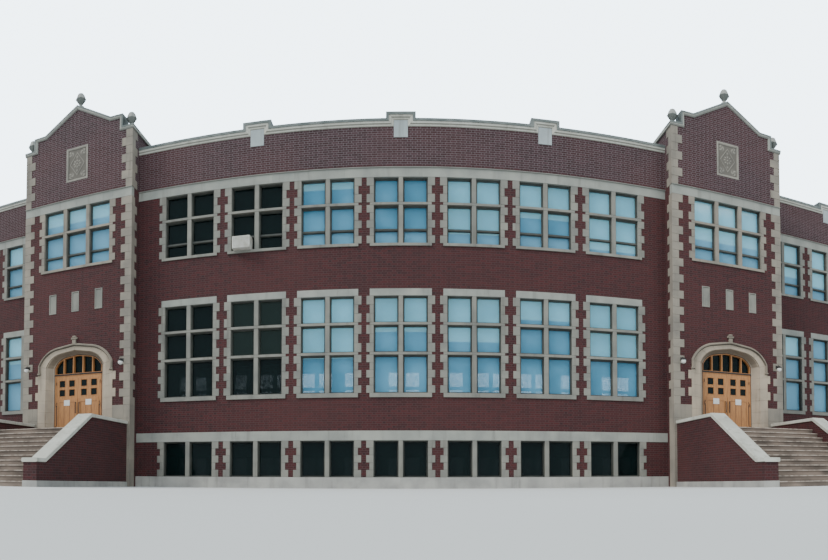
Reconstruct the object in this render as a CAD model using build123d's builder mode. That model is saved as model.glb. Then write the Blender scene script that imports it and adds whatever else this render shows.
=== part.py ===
"""A collegiate gothic school building: brick walls with toothed stone window surrounds,
two gabled entrance towers with arched doorways, and a flight of steps up to each.

Millimetres. X runs along the front, Y from the front to the back, Z up from the ground.
The origin is at ground level in the middle of the building's plan.
"""

import math
import os

from build123d import *

os.makedirs("parts", exist_ok=True)

# Plan sizes
WALL = 450
HALF_LENGTH = 19850
DEPTH = 15000
BAY = 2500
WING_LENGTH = 5700
WING_BAYS = 2
TOWER_WIDTH = 4640
TOWER_PROJECTION = 630
TOWER_BACK = 5000
WING_SETBACK = 1570

# Levels above the ground
PLINTH_TOP = 380
BASEMENT_SILL = 380
BASEMENT_HEAD = 1610
FIRST_FLOOR = 1940
FIRST_SILL = 3200
FIRST_HEAD = 6475
FIRST_TRANSOMS = (4530, 5535)
SECOND_FLOOR = 7200
SECOND_SILL = 8250
SECOND_HEAD = 10500
SECOND_TRANSOMS = (9600,)
BAND_TOP = 10850
ROOF_DECK = 11300
PARAPET_TOP = 12220

# Floors and roofs
GROUND_SLAB = 150
FLOOR_THICK = 300
ROOF_THICK = 300
TOWER_ROOF = 12300
PLINTH_PROUD = 40

# Windows and their stone surrounds
LIGHT_WIDTH = 845
MULLION = 150
TRANSOM = 90
WIDE_STONE = 245
NARROW_STONE = 135
SURROUND_DEPTH = 200
STONE_PROUD = 15
SILL_HEIGHT = 150
UPPER_SILL_HEIGHT = 100
SILL_PROUD = 45
LINTEL_HEIGHT = 240
DRIP_HEIGHT = 50
DRIP_PROUD = 60
GLASS_SETBACK = 120
GLASS_THICK = 24
REAR_STONE_DEPTH = 100
TALL_COURSES = 5
SHORT_COURSES = 3

# Copings
COPING_STONE = 190
COPING_MOULDING = 100
COPING_FLASHING = 80
COPING_OVERHANG = 60
FLASHING_OVERHANG = 85
MERLON_WIDTH = 880
MERLON_RISE = 220
MERLON_BLOCK_WIDTH = 480
MERLON_BLOCK_DROP = 370
MERLON_BLOCK_DEPTH = 90

# Towers
TOWER_LIGHTS = 3
SHELF_TOP = 12960
KNEELER_TOP = 13420
KNEELER_IN = 1400
KNEELER_OUT = 1800
GABLE_TOP = 14210
GABLE_COPING = 140
GABLE_COPING_OVERHANG = 60
QUOIN_WIDE = 420
QUOIN_NARROW = 250
QUOIN_COURSE = 290
QUOIN_DEPTH = 60
PANEL_WIDTH = 940
PANEL_HEIGHT = 1280
PANEL_Z = 12150
SLOT_WIDTH = 320
SLOT_HEIGHT = 760
SLOT_PITCH = 1000
SLOT_Z = 6910
PANEL_DEPTH = 80
PANEL_BORDER = 90
PANEL_SINK = 35
SLOT_DEPTH = 60
SLOT_BORDER = 45
SLOT_SINK = 20
FINIAL_WIDTH = 420
FINIAL_HEIGHT = 520
FINIAL_NECK = 150
FINIAL_BASE = 300
FINIAL_BASE_HEIGHT = 60
FINIAL_INSET = 150

# Doorways
DOOR_HALF = 1050
SURROUND_HALF = 1620
DOOR_RECESS = 290
FRAME_DEPTH = 120
FRAME_JAMB = 85
DOOR_HEAD = 4170
TRANSOM_BAR = 100
ARCH_SPRING = 4500
ARCH_RISE = 480
ARCH_KNEE = 0.5
ARCH_KNEE_RISE = 0.84
HAUNCH_IN = 0.4
HAUNCH_UP = 0.667
HOOD_SPRING = 4560
HOOD_RISE = 780
HOOD_WIDTH = 110
HOOD_PROUD = 90
HOOD_STOP = 260
CREST_HALF = 60
CREST_RISE = 280
REVEAL_SPLAY = 220
REVEAL_LIFT = 110
JAMB_TOOTH = 130
STONE_BASE_TOP = 2940
LEAF_THICK = 50
LEAF_GAP = 6
LEAF_FLOOR_GAP = 10
LEAF_HEAD_GAP = 6
LEAF_STILE = 130
PANE = 250
PANE_GAP = 100
PANE_GAP_ACROSS = 180
PANES_TOP_RAIL = 160
DOOR_PANEL_SINK = 12
HINGE_RADIUS = 12
HINGE_LENGTH = 60
HINGE_LUG = 40
HINGE_PLAY = 0.3
HINGE_LEVELS = (0.12, 0.5, 0.88)
HINGE_FACE_GAP = 1
PULL_HEIGHT = 420
PULL_REACH = 60
PULL_SIZE = 22
PULL_Z = 1000
PULL_INSET = 75
FANLIGHT_MULLIONS = 4
FANLIGHT_BAR = 55

# Steps and their side walls
RISERS = 12
TREAD = 290
LANDING_DEPTH = 2700
SIDE_WALL = 450
SIDE_WALL_OUTER = 2230
SIDE_PARAPET = 290
STAIR_COPING = 120
STAIR_COPING_OVERHANG = 40
PIER_TOP = 700
PIER_LENGTH = 420
STAIR_PLINTH_TOP = 180
STAIR_PLINTH_PROUD = 45

# Lanterns and the window air conditioner
LANTERN_X = 2040
LANTERN_Z = 4550
GLOBE_RADIUS = 100
LANTERN_REACH = 210
LANTERN_PLATE = 120
LANTERN_ARM = 40
LANTERN_CAP = 60
COOLER_WIDTH = 640
COOLER_HEIGHT = 420
COOLER_PROUD = 300
COOLER_BAY = 1

# Planes worked out from the sizes above
TOWER_HALF = TOWER_WIDTH / 2
TOWER_OUT = HALF_LENGTH - WING_LENGTH
TOWER_X = TOWER_OUT - TOWER_HALF
TOWER_IN = TOWER_X - TOWER_HALF
RISE = FIRST_FLOOR / RISERS
FLIGHT_RUN = (RISERS - 1) * TREAD
STAIR_LENGTH = LANDING_DEPTH + FLIGHT_RUN + STAIR_PLINTH_PROUD
SLOPE = math.atan2(RISE, TREAD)
OVERALL_DEPTH = STAIR_LENGTH + TOWER_PROJECTION + DEPTH + FLASHING_OVERHANG
MAIN_Y = STAIR_LENGTH + TOWER_PROJECTION - OVERALL_DEPTH / 2
TOWER_Y = MAIN_Y - TOWER_PROJECTION
WING_Y = MAIN_Y + WING_SETBACK
REAR_Y = MAIN_Y + DEPTH
MAIN_BAYS = int(2 * TOWER_IN // BAY)
REAR_BAYS = int((2 * (HALF_LENGTH - WALL) - WIDE_STONE) // BAY)


def bays(centre, count):
    """The middles of a row of windows, one bay apart."""
    return [centre + (i - (count - 1) / 2) * BAY for i in range(count)]


MAIN_BAYS_X = bays(0, MAIN_BAYS)
MAIN_MERLONS_X = (-2 * BAY, 0, 2 * BAY)
REAR_BAYS_X = bays(0, REAR_BAYS)
WING_BAYS_X = bays((TOWER_OUT + HALF_LENGTH) / 2, WING_BAYS)
PAIR_WIDTH = 2 * LIGHT_WIDTH + MULLION
TRIPLE_WIDTH = TOWER_LIGHTS * LIGHT_WIDTH + (TOWER_LIGHTS - 1) * MULLION
SIDES = {"left": -1, "right": 1}


def facing(y):
    """The upright plane at depth y, drawn as it is seen from the front."""
    return Plane.XZ.offset(-y)


def rect(x0, x1, z0, z1, mode=Mode.ADD):
    """A rectangle between two corners of the sketch in hand."""
    with Locations(((x0 + x1) / 2, (z0 + z1) / 2)):
        Rectangle(x1 - x0, z1 - z0, mode=mode)


def write(part, name):
    part.label = name
    export_step(part, f"parts/{name}.step")


def courses(sill, head, transoms):
    """The jamb stones of one opening from its sill up: (low, high, wide or not).

    The stones beside each pane alternate and start and end with a wide one; the stone
    beside a transom is a thin narrow one.
    """
    stones = []
    low = sill
    for stop in [t - TRANSOM / 2 for t in transoms] + [head]:
        count = TALL_COURSES if low == sill else SHORT_COURSES
        step = (stop - low) / count
        for i in range(count):
            stones.append((low + i * step, low + (i + 1) * step, i % 2 == 0))
        if stop != head:
            stones.append((stop, stop + TRANSOM, False))
        low = stop + TRANSOM
    return stones


def toothed_outlines(middles, width, sill, head, transoms):
    """The outlines of stone surrounds whose jambs step in and out of the brick."""
    side = []
    for low, high, wide in courses(sill, head, transoms):
        reach = width / 2 + (WIDE_STONE if wide else NARROW_STONE)
        side += [(reach, low), (reach, high)]
    with BuildLine() as stepped:
        Polyline(*side, *[(-r, z) for r, z in reversed(side)], close=True)
    surround = make_face(stepped.edges(), mode=Mode.PRIVATE)
    with Locations(*[(x, 0) for x in middles]):
        add(surround)


def blocks_on(middles, half, low, high, mode=Mode.ADD):
    """The same rectangle in every bay."""
    with Locations(*[(x, (low + high) / 2) for x in middles]):
        Rectangle(2 * half, high - low, mode=mode)


def lights(middles, count, sill, head, transoms, mode=Mode.ADD):
    """The panes' openings between the mullions and the transoms."""
    step = LIGHT_WIDTH + MULLION
    centres = [x + (i - (count - 1) / 2) * step for x in middles for i in range(count)]
    low = sill
    for stop in [t - TRANSOM / 2 for t in transoms] + [head]:
        blocks_on(centres, LIGHT_WIDTH / 2, low, stop, mode)
        low = stop + TRANSOM


# The three window rows: sill, head, transoms
BASEMENT_ROW = (BASEMENT_SILL, BASEMENT_HEAD, ())
FIRST_ROW = (FIRST_SILL, FIRST_HEAD, FIRST_TRANSOMS)
SECOND_ROW = (SECOND_SILL, SECOND_HEAD, SECOND_TRANSOMS)
ROWS = (BASEMENT_ROW, FIRST_ROW, SECOND_ROW)
SILL_REACH = PAIR_WIDTH / 2 + NARROW_STONE


def basement_band(x0, x1):
    """The stone band over the basement windows, from end to end."""
    rect(x0, x1, BASEMENT_HEAD, FIRST_FLOOR)


def first_sills_and_lintels(middles):
    """The first floor's sills and lintels, one of each to a window."""
    blocks_on(middles, SILL_REACH, FIRST_SILL - SILL_HEIGHT, FIRST_SILL)
    blocks_on(middles, SILL_REACH, FIRST_HEAD, FIRST_HEAD + LINTEL_HEIGHT)


def second_sills_and_band(x0, x1, middles, width):
    """The second floor's sills, and the lintel band from end to end."""
    reach = width / 2 + NARROW_STONE
    blocks_on(middles, reach, SECOND_SILL - UPPER_SILL_HEIGHT, SECOND_SILL)
    rect(x0, x1, SECOND_HEAD, BAND_TOP)


def seats(middles, width, rows):
    """The straight-sided seats of the surrounds, behind the tails of the long stones."""
    for sill, head, _ in rows:
        blocks_on(middles, width / 2 + NARROW_STONE, sill, head)


def pierced_wall(y, x0, x1, middles):
    """A front wall with its windows cut through and its stonework's seats sunk in."""
    with BuildPart() as wall:
        with BuildSketch(facing(y)):
            rect(x0, x1, 0, PARAPET_TOP)
            for sill, head, _ in ROWS:
                blocks_on(middles, PAIR_WIDTH / 2, sill, head, Mode.SUBTRACT)
        extrude(amount=-WALL)
        with BuildSketch(facing(y)):
            seats(middles, PAIR_WIDTH, ROWS)
            basement_band(x0, x1)
            first_sills_and_lintels(middles)
            second_sills_and_band(x0, x1, middles, PAIR_WIDTH)
        extrude(amount=-SURROUND_DEPTH, mode=Mode.SUBTRACT)
    return wall.part


def drip(y, x0, x1):
    """The moulding that throws rain off the front of the lintel band."""
    with BuildPart() as course:
        with BuildSketch(Plane.YZ.offset(x0)):
            with BuildLine() as edge:
                Polyline(
                    (y - STONE_PROUD, BAND_TOP - DRIP_HEIGHT),
                    (y - DRIP_PROUD, BAND_TOP - DRIP_HEIGHT / 2),
                    (y - DRIP_PROUD, BAND_TOP - DRIP_HEIGHT / 4),
                    (y - STONE_PROUD, BAND_TOP),
                    close=True,
                )
            make_face(edge.edges())
        extrude(amount=x1 - x0)
    return course.part


def toothed_faces(y, middles, count, width, row):
    """The faces of the jamb stones, whose long tails lap over the brick beside them."""
    with BuildSketch(facing(y)) as faces:
        toothed_outlines(middles, width, *row)
        lights(middles, count, *row, Mode.SUBTRACT)
    extrude(faces.sketch, amount=STONE_PROUD)


def basement_stones(y, x0, x1, middles):
    """The basement row's stonework, from the plinth to the first floor's band."""
    with BuildPart() as stones:
        with BuildSketch(facing(y + SURROUND_DEPTH)):
            seats(middles, PAIR_WIDTH, [BASEMENT_ROW])
            basement_band(x0, x1)
            lights(middles, 2, *BASEMENT_ROW, Mode.SUBTRACT)
        extrude(amount=SURROUND_DEPTH + STONE_PROUD)
        toothed_faces(y, middles, 2, PAIR_WIDTH, BASEMENT_ROW)
    return stones.part


def first_floor_stones(y, middles):
    """The first floor's surrounds, each with mullion, transoms, lintel and sill."""
    with BuildPart() as stones:
        with BuildSketch(facing(y + SURROUND_DEPTH)):
            seats(middles, PAIR_WIDTH, [FIRST_ROW])
            first_sills_and_lintels(middles)
            lights(middles, 2, *FIRST_ROW, Mode.SUBTRACT)
        extrude(amount=SURROUND_DEPTH + STONE_PROUD)
        toothed_faces(y, middles, 2, PAIR_WIDTH, FIRST_ROW)
        with BuildSketch(facing(y - STONE_PROUD)):
            blocks_on(middles, SILL_REACH, FIRST_SILL - SILL_HEIGHT, FIRST_SILL)
        extrude(amount=SILL_PROUD - STONE_PROUD)
    return stones.part


def second_floor_stones(y, x0, x1, middles, count, width):
    """The second floor's surrounds, under a band with a drip along its top."""
    with BuildPart() as stones:
        with BuildSketch(facing(y + SURROUND_DEPTH)):
            seats(middles, width, [SECOND_ROW])
            second_sills_and_band(x0, x1, middles, width)
            lights(middles, count, *SECOND_ROW, Mode.SUBTRACT)
        extrude(amount=SURROUND_DEPTH + STONE_PROUD)
        toothed_faces(y, middles, count, width, SECOND_ROW)
        with BuildSketch(facing(y - STONE_PROUD)):
            reach = width / 2 + NARROW_STONE
            blocks_on(middles, reach, SECOND_SILL - UPPER_SILL_HEIGHT, SECOND_SILL)
        extrude(amount=SILL_PROUD - STONE_PROUD)
        add(drip(y, x0, x1))
    return stones.part


def glass_sheets(y, middles, width, rows):
    """One sheet of glass in each window, seated against the back of its stonework."""
    with BuildPart() as glass:
        with BuildSketch(facing(y + SURROUND_DEPTH)):
            for sill, head, _ in rows:
                blocks_on(middles, width / 2, sill, head)
        extrude(amount=-GLASS_THICK)
    return glass.part


def interior_plan():
    """The floor area inside the walls: the main block, the wings and the towers."""
    rect(WALL - HALF_LENGTH, HALF_LENGTH - WALL, WING_Y + WALL, REAR_Y - WALL)
    rect(WALL - TOWER_OUT, TOWER_OUT - WALL, MAIN_Y + WALL, WING_Y + WALL)
    for side in SIDES.values():
        inner, outer = sorted((side * (TOWER_IN + WALL), side * (TOWER_OUT - WALL)))
        rect(inner, outer, TOWER_Y + WALL, MAIN_Y + WALL)


def floor_slab(top, thick):
    with BuildPart() as slab:
        with BuildSketch(Plane.XY.offset(top - thick)):
            interior_plan()
        extrude(amount=thick)
    return slab.part


def span(side, near, far):
    """Two distances from the middle as an ordered pair on one side of the building."""
    return sorted((side * near, side * far))


# Walls of the main block and the wings
with BuildPart() as main_front_wall:
    add(pierced_wall(MAIN_Y, -TOWER_IN, TOWER_IN, MAIN_BAYS_X))
    with BuildSketch(facing(MAIN_Y)):
        half = MERLON_BLOCK_WIDTH / 2
        blocks_on(MAIN_MERLONS_X, half, PARAPET_TOP - MERLON_BLOCK_DROP, PARAPET_TOP)
    extrude(amount=-MERLON_BLOCK_DEPTH, mode=Mode.SUBTRACT)
write(main_front_wall.part, "main_front_wall")

with BuildPart() as wing_front_walls:
    for side in SIDES.values():
        middles = [side * x for x in WING_BAYS_X]
        add(pierced_wall(WING_Y, *span(side, TOWER_OUT, HALF_LENGTH), middles))
        with BuildSketch(facing(WING_Y)):
            half = MERLON_BLOCK_WIDTH / 2
            low = PARAPET_TOP - MERLON_BLOCK_DROP
            blocks_on(middles[-1:], half, low, PARAPET_TOP)
        extrude(amount=-MERLON_BLOCK_DEPTH, mode=Mode.SUBTRACT)
write(wing_front_walls.part, "wing_front_walls")

with BuildPart() as end_walls:
    with BuildSketch():
        for side in SIDES.values():
            x0, x1 = span(side, HALF_LENGTH - WALL, HALF_LENGTH)
            rect(x0, x1, WING_Y + WALL, REAR_Y - WALL)
    extrude(amount=PARAPET_TOP)
write(end_walls.part, "end_walls")


def rear_dressing():
    """The plain sill and lintel bands of the rear, each from end to end."""
    for low, high in (
        (BASEMENT_HEAD, FIRST_FLOOR),
        (FIRST_SILL - SILL_HEIGHT, FIRST_SILL),
        (FIRST_HEAD, FIRST_HEAD + LINTEL_HEIGHT),
        (SECOND_SILL - SILL_HEIGHT, SECOND_SILL),
        (SECOND_HEAD, BAND_TOP),
    ):
        rect(-HALF_LENGTH, HALF_LENGTH, low, high)


with BuildPart() as rear_wall:
    with BuildSketch(facing(REAR_Y)):
        rect(-HALF_LENGTH, HALF_LENGTH, 0, PARAPET_TOP)
        for sill, head, _ in ROWS:
            blocks_on(REAR_BAYS_X, PAIR_WIDTH / 2, sill, head, Mode.SUBTRACT)
    extrude(amount=WALL)
    with BuildSketch(facing(REAR_Y)):
        rear_dressing()
    extrude(amount=REAR_STONE_DEPTH, mode=Mode.SUBTRACT)
write(rear_wall.part, "rear_wall")

with BuildPart() as rear_stonework:
    with BuildSketch(facing(REAR_Y + STONE_PROUD)):
        rear_dressing()
    extrude(amount=REAR_STONE_DEPTH + STONE_PROUD)
write(rear_stonework.part, "rear_stonework")

with BuildPart() as rear_glazing:
    with BuildSketch(facing(REAR_Y - GLASS_SETBACK)):
        for sill, head, _ in ROWS:
            blocks_on(REAR_BAYS_X, PAIR_WIDTH / 2, sill, head)
    extrude(amount=GLASS_THICK)
write(rear_glazing.part, "rear_glazing")

# Floors
write(floor_slab(GROUND_SLAB, GROUND_SLAB), "ground_slab")
write(floor_slab(FIRST_FLOOR, FLOOR_THICK), "first_floor")
write(floor_slab(SECOND_FLOOR, FLOOR_THICK), "second_floor")
write(floor_slab(ROOF_DECK, ROOF_THICK), "roof_deck")

# Stonework and glass of the main front and the wings
write(basement_stones(MAIN_Y, -TOWER_IN, TOWER_IN, MAIN_BAYS_X), "basement_stonework")
write(first_floor_stones(MAIN_Y, MAIN_BAYS_X), "first_floor_stonework")
write(
    second_floor_stones(MAIN_Y, -TOWER_IN, TOWER_IN, MAIN_BAYS_X, 2, PAIR_WIDTH),
    "second_floor_stonework",
)
write(glass_sheets(MAIN_Y, MAIN_BAYS_X, PAIR_WIDTH, ROWS), "main_glazing")

with BuildPart() as wing_stonework:
    for side in SIDES.values():
        middles = [side * x for x in WING_BAYS_X]
        x0, x1 = span(side, TOWER_OUT, HALF_LENGTH)
        add(basement_stones(WING_Y, x0, x1, middles))
        add(first_floor_stones(WING_Y, middles))
        add(second_floor_stones(WING_Y, x0, x1, middles, 2, PAIR_WIDTH))
write(wing_stonework.part, "wing_stonework")

all_wing_bays = [side * x for side in SIDES.values() for x in WING_BAYS_X]
write(glass_sheets(WING_Y, all_wing_bays, PAIR_WIDTH, ROWS), "wing_glazing")

with BuildPart() as plinth:
    with BuildSketch():
        rect(-TOWER_IN, TOWER_IN, MAIN_Y - PLINTH_PROUD, MAIN_Y)
        for side in SIDES.values():
            x0, x1 = span(side, TOWER_OUT, HALF_LENGTH)
            rect(x0, x1, WING_Y - PLINTH_PROUD, WING_Y)
    extrude(amount=PLINTH_TOP)
write(plinth.part, "plinth")


# Copings of the parapets
def coping(y, x0, x1, merlons):
    """The coping stones over one stretch of front parapet, stepped up at merlons."""
    front, back = y - COPING_OVERHANG, y + WALL + COPING_OVERHANG
    lip, top = PARAPET_TOP + COPING_MOULDING, PARAPET_TOP + COPING_STONE
    with BuildPart() as stones:
        with BuildSketch(Plane.YZ.offset(x0)):
            with BuildLine() as section:
                Polyline(
                    (y, PARAPET_TOP),
                    (front, lip),
                    (front, top),
                    (back, top),
                    (back, lip),
                    (y + WALL, PARAPET_TOP),
                    close=True,
                )
            make_face(section.edges())
        extrude(amount=x1 - x0)
        with BuildSketch(facing(back)):
            blocks_on(merlons, MERLON_WIDTH / 2, PARAPET_TOP, top + MERLON_RISE)
        extrude(amount=back - front)
        with BuildSketch(facing(y + MERLON_BLOCK_DEPTH)):
            low = PARAPET_TOP - MERLON_BLOCK_DROP
            blocks_on(merlons, MERLON_BLOCK_WIDTH / 2, low, PARAPET_TOP)
        extrude(amount=MERLON_BLOCK_DEPTH + STONE_PROUD)
    return stones.part


def flashing(y, x0, x1, merlons):
    """The folded metal cap on the coping stones, which wraps over each merlon."""
    low = PARAPET_TOP + COPING_STONE
    half = MERLON_WIDTH / 2 + COPING_FLASHING
    with BuildPart() as cap:
        with BuildSketch(facing(y + WALL + FLASHING_OVERHANG)):
            rect(x0, x1, low, low + COPING_FLASHING)
            blocks_on(merlons, half, low, low + MERLON_RISE + COPING_FLASHING)
            blocks_on(merlons, MERLON_WIDTH / 2, low, low + MERLON_RISE, Mode.SUBTRACT)
        extrude(amount=WALL + 2 * FLASHING_OVERHANG)
    return cap.part


write(coping(MAIN_Y, -TOWER_IN, TOWER_IN, MAIN_MERLONS_X), "main_coping")
with BuildPart() as wing_copings:
    for side in SIDES.values():
        x0, x1 = span(side, TOWER_OUT, HALF_LENGTH)
        add(coping(WING_Y, x0, x1, [side * WING_BAYS_X[-1]]))
write(wing_copings.part, "wing_copings")
END_COPING_Y = (WING_Y + WALL + COPING_OVERHANG, REAR_Y - WALL - COPING_OVERHANG)
with BuildPart() as end_copings:
    with BuildSketch(Plane.XY.offset(PARAPET_TOP)):
        for side in SIDES.values():
            x0, x1 = span(side, HALF_LENGTH - WALL - COPING_OVERHANG, HALF_LENGTH)
            rect(x0, x1, *END_COPING_Y)
    extrude(amount=COPING_STONE)
write(end_copings.part, "end_copings")
with BuildPart() as rear_coping:
    with BuildSketch(Plane.XY.offset(PARAPET_TOP)):
        rect(-HALF_LENGTH, HALF_LENGTH, END_COPING_Y[1], REAR_Y + COPING_OVERHANG)
    extrude(amount=COPING_STONE)
write(rear_coping.part, "rear_coping")
with BuildPart() as parapet_flashings:
    add(flashing(MAIN_Y, -TOWER_IN, TOWER_IN, MAIN_MERLONS_X))
    for side in SIDES.values():
        x0, x1 = span(side, TOWER_OUT, HALF_LENGTH)
        add(flashing(WING_Y, x0, x1, [side * WING_BAYS_X[-1]]))
    with BuildSketch(Plane.XY.offset(PARAPET_TOP + COPING_STONE)):
        y0, y1 = WING_Y + WALL + FLASHING_OVERHANG, REAR_Y - WALL - FLASHING_OVERHANG
        for side in SIDES.values():
            x0, x1 = span(side, HALF_LENGTH - WALL - FLASHING_OVERHANG, HALF_LENGTH)
            rect(x0, x1, y0, y1)
        rect(-HALF_LENGTH, HALF_LENGTH, y1, REAR_Y + FLASHING_OVERHANG)
    extrude(amount=COPING_FLASHING)
write(parapet_flashings.part, "parapet_flashings")


# Entrance towers
def doorway_outline(half, foot, spring, rise, x, mode=Mode.ADD):
    """A doorway's outline: upright sides under a depressed arch.

    The arch is quick at its haunches and straight from there up to its point.
    """
    knee = half * ARCH_KNEE
    knee_z = spring + rise * ARCH_KNEE_RISE
    with BuildLine() as line:
        for s in SIDES.values():
            bulge = (half - (half - knee) * HAUNCH_IN, spring + (knee_z - spring) * HAUNCH_UP)
            ThreePointArc((s * half, spring), (s * bulge[0], bulge[1]), (s * knee, knee_z))
            Line((s * knee, knee_z), (0, spring + rise))
            if foot < spring:
                Line((s * half, spring), (s * half, foot))
        Line((-half, foot), (half, foot))
    face = make_face(line.edges(), mode=Mode.PRIVATE)
    with Locations((x, 0)):
        add(face, mode=mode)


def gable_points(x, half):
    """The wall's top over one tower, from one corner to the other."""
    right = [
        (half, SHELF_TOP),
        (KNEELER_OUT, SHELF_TOP),
        (KNEELER_OUT, KNEELER_TOP),
        (KNEELER_IN, KNEELER_TOP),
    ]
    left = [(-r, z) for r, z in reversed(right)]
    return [(x + r, z) for r, z in right + [(0, GABLE_TOP)] + left]


def quoins(x):
    """The corner stones of one tower, long on the front and on the side by turns.

    They stand on the smooth foot, stop under the lintel band and go on above it.
    """
    y = TOWER_Y - STONE_PROUD
    short = QUOIN_NARROW + STONE_PROUD
    long = QUOIN_WIDE + STONE_PROUD
    with BuildPart() as stones:
        for side in SIDES.values():
            corner = x + side * (TOWER_HALF + STONE_PROUD)
            align = (Align.MAX if side > 0 else Align.MIN, Align.MIN, Align.MIN)
            for foot, top in ((STONE_BASE_TOP, SECOND_HEAD), (BAND_TOP, SHELF_TOP)):
                with Locations((corner, y, foot)):
                    Box(short, short, top - foot, align=align)
                count = round((top - foot) / QUOIN_COURSE)
                step = (top - foot) / count
                courses_up = [(corner, y, foot + i * step) for i in range(count)]
                with Locations(*courses_up[1::2]):
                    Box(long, STONE_PROUD, step, align=align)
                with Locations(*courses_up[0::2]):
                    Box(STONE_PROUD, long, step, align=align)
    return stones.part


def base_stones(x):
    """The smooth stone foot of one tower, up both sides of the steps and the door."""
    with BuildPart() as stones:
        for side in SIDES.values():
            ends = sorted((x + side * SURROUND_HALF, x + side * (TOWER_HALF + STONE_PROUD)))
            y0 = TOWER_Y - STONE_PROUD
            with BuildSketch():
                rect(ends[0], ends[1], y0, TOWER_Y + QUOIN_WIDE)
                inner = sorted((x + side * SURROUND_HALF, x + side * (TOWER_HALF - QUOIN_DEPTH)))
                rect(*inner, TOWER_Y + QUOIN_DEPTH, TOWER_Y + QUOIN_WIDE, Mode.SUBTRACT)
            extrude(amount=STONE_BASE_TOP)
    return stones.part


TOWERS_X = [side * TOWER_X for side in SIDES.values()]
PANEL_BOX = (PANEL_Z - PANEL_HEIGHT / 2, PANEL_Z + PANEL_HEIGHT / 2)
SLOT_BOX = (SLOT_Z - SLOT_HEIGHT / 2, SLOT_Z + SLOT_HEIGHT / 2)
SLOTS_X = [x + i * SLOT_PITCH for x in TOWERS_X for i in (-1, 0, 1)]
tower_quoins = {x: quoins(x) for x in TOWERS_X}
tower_bases = {x: base_stones(x) for x in TOWERS_X}

with BuildPart() as tower_front_walls:
    for x in TOWERS_X:
        with BuildSketch(facing(TOWER_Y)):
            with BuildLine() as outline:
                Polyline(
                    (x - TOWER_HALF, ARCH_SPRING),
                    (x + TOWER_HALF, ARCH_SPRING),
                    *gable_points(x, TOWER_HALF),
                    close=True,
                )
            make_face(outline.edges())
            doorway_outline(SURROUND_HALF, ARCH_SPRING, HOOD_SPRING, HOOD_RISE, x, Mode.SUBTRACT)
            blocks_on([x], TRIPLE_WIDTH / 2, SECOND_SILL, SECOND_HEAD, Mode.SUBTRACT)
        extrude(amount=-WALL)
        with BuildSketch(facing(TOWER_Y)):
            seats([x], TRIPLE_WIDTH, [SECOND_ROW])
            second_sills_and_band(x - TOWER_HALF, x + TOWER_HALF, [x], TRIPLE_WIDTH)
        extrude(amount=-SURROUND_DEPTH, mode=Mode.SUBTRACT)
    with BuildSketch(facing(TOWER_Y)):
        blocks_on(TOWERS_X, PANEL_WIDTH / 2, *PANEL_BOX)
    extrude(amount=-PANEL_DEPTH, mode=Mode.SUBTRACT)
    with BuildSketch(facing(TOWER_Y)):
        blocks_on(SLOTS_X, SLOT_WIDTH / 2, *SLOT_BOX)
    extrude(amount=-SLOT_DEPTH, mode=Mode.SUBTRACT)
    for x in TOWERS_X:
        add(tower_quoins[x], mode=Mode.SUBTRACT)
write(tower_front_walls.part, "tower_front_walls")

with BuildPart() as tower_door_piers:
    with BuildSketch(facing(TOWER_Y)):
        for x in TOWERS_X:
            rect(x - TOWER_HALF, x - SURROUND_HALF, 0, ARCH_SPRING)
            rect(x + SURROUND_HALF, x + TOWER_HALF, 0, ARCH_SPRING)
    extrude(amount=-WALL)
    for x in TOWERS_X:
        add(tower_quoins[x], mode=Mode.SUBTRACT)
        add(tower_bases[x], mode=Mode.SUBTRACT)
write(tower_door_piers.part, "tower_door_piers")

with BuildPart() as door_foot_walls:
    with BuildSketch(facing(TOWER_Y + WALL)):
        blocks_on(TOWERS_X, SURROUND_HALF, 0, FIRST_FLOOR)
    extrude(amount=WALL + STONE_PROUD)
write(door_foot_walls.part, "door_foot_walls")

with BuildPart() as tower_corner_stones:
    for x in TOWERS_X:
        add(tower_quoins[x])
write(tower_corner_stones.part, "tower_corner_stones")

with BuildPart() as tower_base_stones:
    for x in TOWERS_X:
        add(tower_bases[x])
write(tower_base_stones.part, "tower_base_stones")

with BuildPart() as tower_return_walls:
    with BuildSketch():
        for side in SIDES.values():
            rect(*span(side, TOWER_IN, TOWER_IN + WALL), TOWER_Y + WALL, MAIN_Y + WALL)
            rect(*span(side, TOWER_OUT - WALL, TOWER_OUT), TOWER_Y + WALL, WING_Y + WALL)
    extrude(amount=ROOF_DECK)
write(tower_return_walls.part, "tower_return_walls")

TOWER_REAR = TOWER_Y + TOWER_BACK
with BuildPart() as tower_attic_walls:
    with BuildSketch(Plane.XY.offset(ROOF_DECK)):
        for side in SIDES.values():
            rect(*span(side, TOWER_IN, TOWER_OUT), TOWER_Y + WALL, TOWER_REAR)
            x0, x1 = span(side, TOWER_IN + WALL, TOWER_OUT - WALL)
            rect(x0, x1, TOWER_Y + WALL, TOWER_REAR - WALL, Mode.SUBTRACT)
    extrude(amount=SHELF_TOP - ROOF_DECK)
write(tower_attic_walls.part, "tower_attic_walls")

with BuildPart() as tower_roofs:
    with BuildSketch(Plane.XY.offset(TOWER_ROOF - ROOF_THICK)):
        for side in SIDES.values():
            x0, x1 = span(side, TOWER_IN + WALL, TOWER_OUT - WALL)
            rect(x0, x1, TOWER_Y + WALL, TOWER_REAR - WALL)
    extrude(amount=ROOF_THICK)
write(tower_roofs.part, "tower_roofs")

with BuildPart() as tower_window_stonework:
    for x in TOWERS_X:
        x0, x1 = x - TOWER_HALF, x + TOWER_HALF
        add(second_floor_stones(TOWER_Y, x0, x1, [x], TOWER_LIGHTS, TRIPLE_WIDTH))
write(tower_window_stonework.part, "tower_window_stonework")

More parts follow.
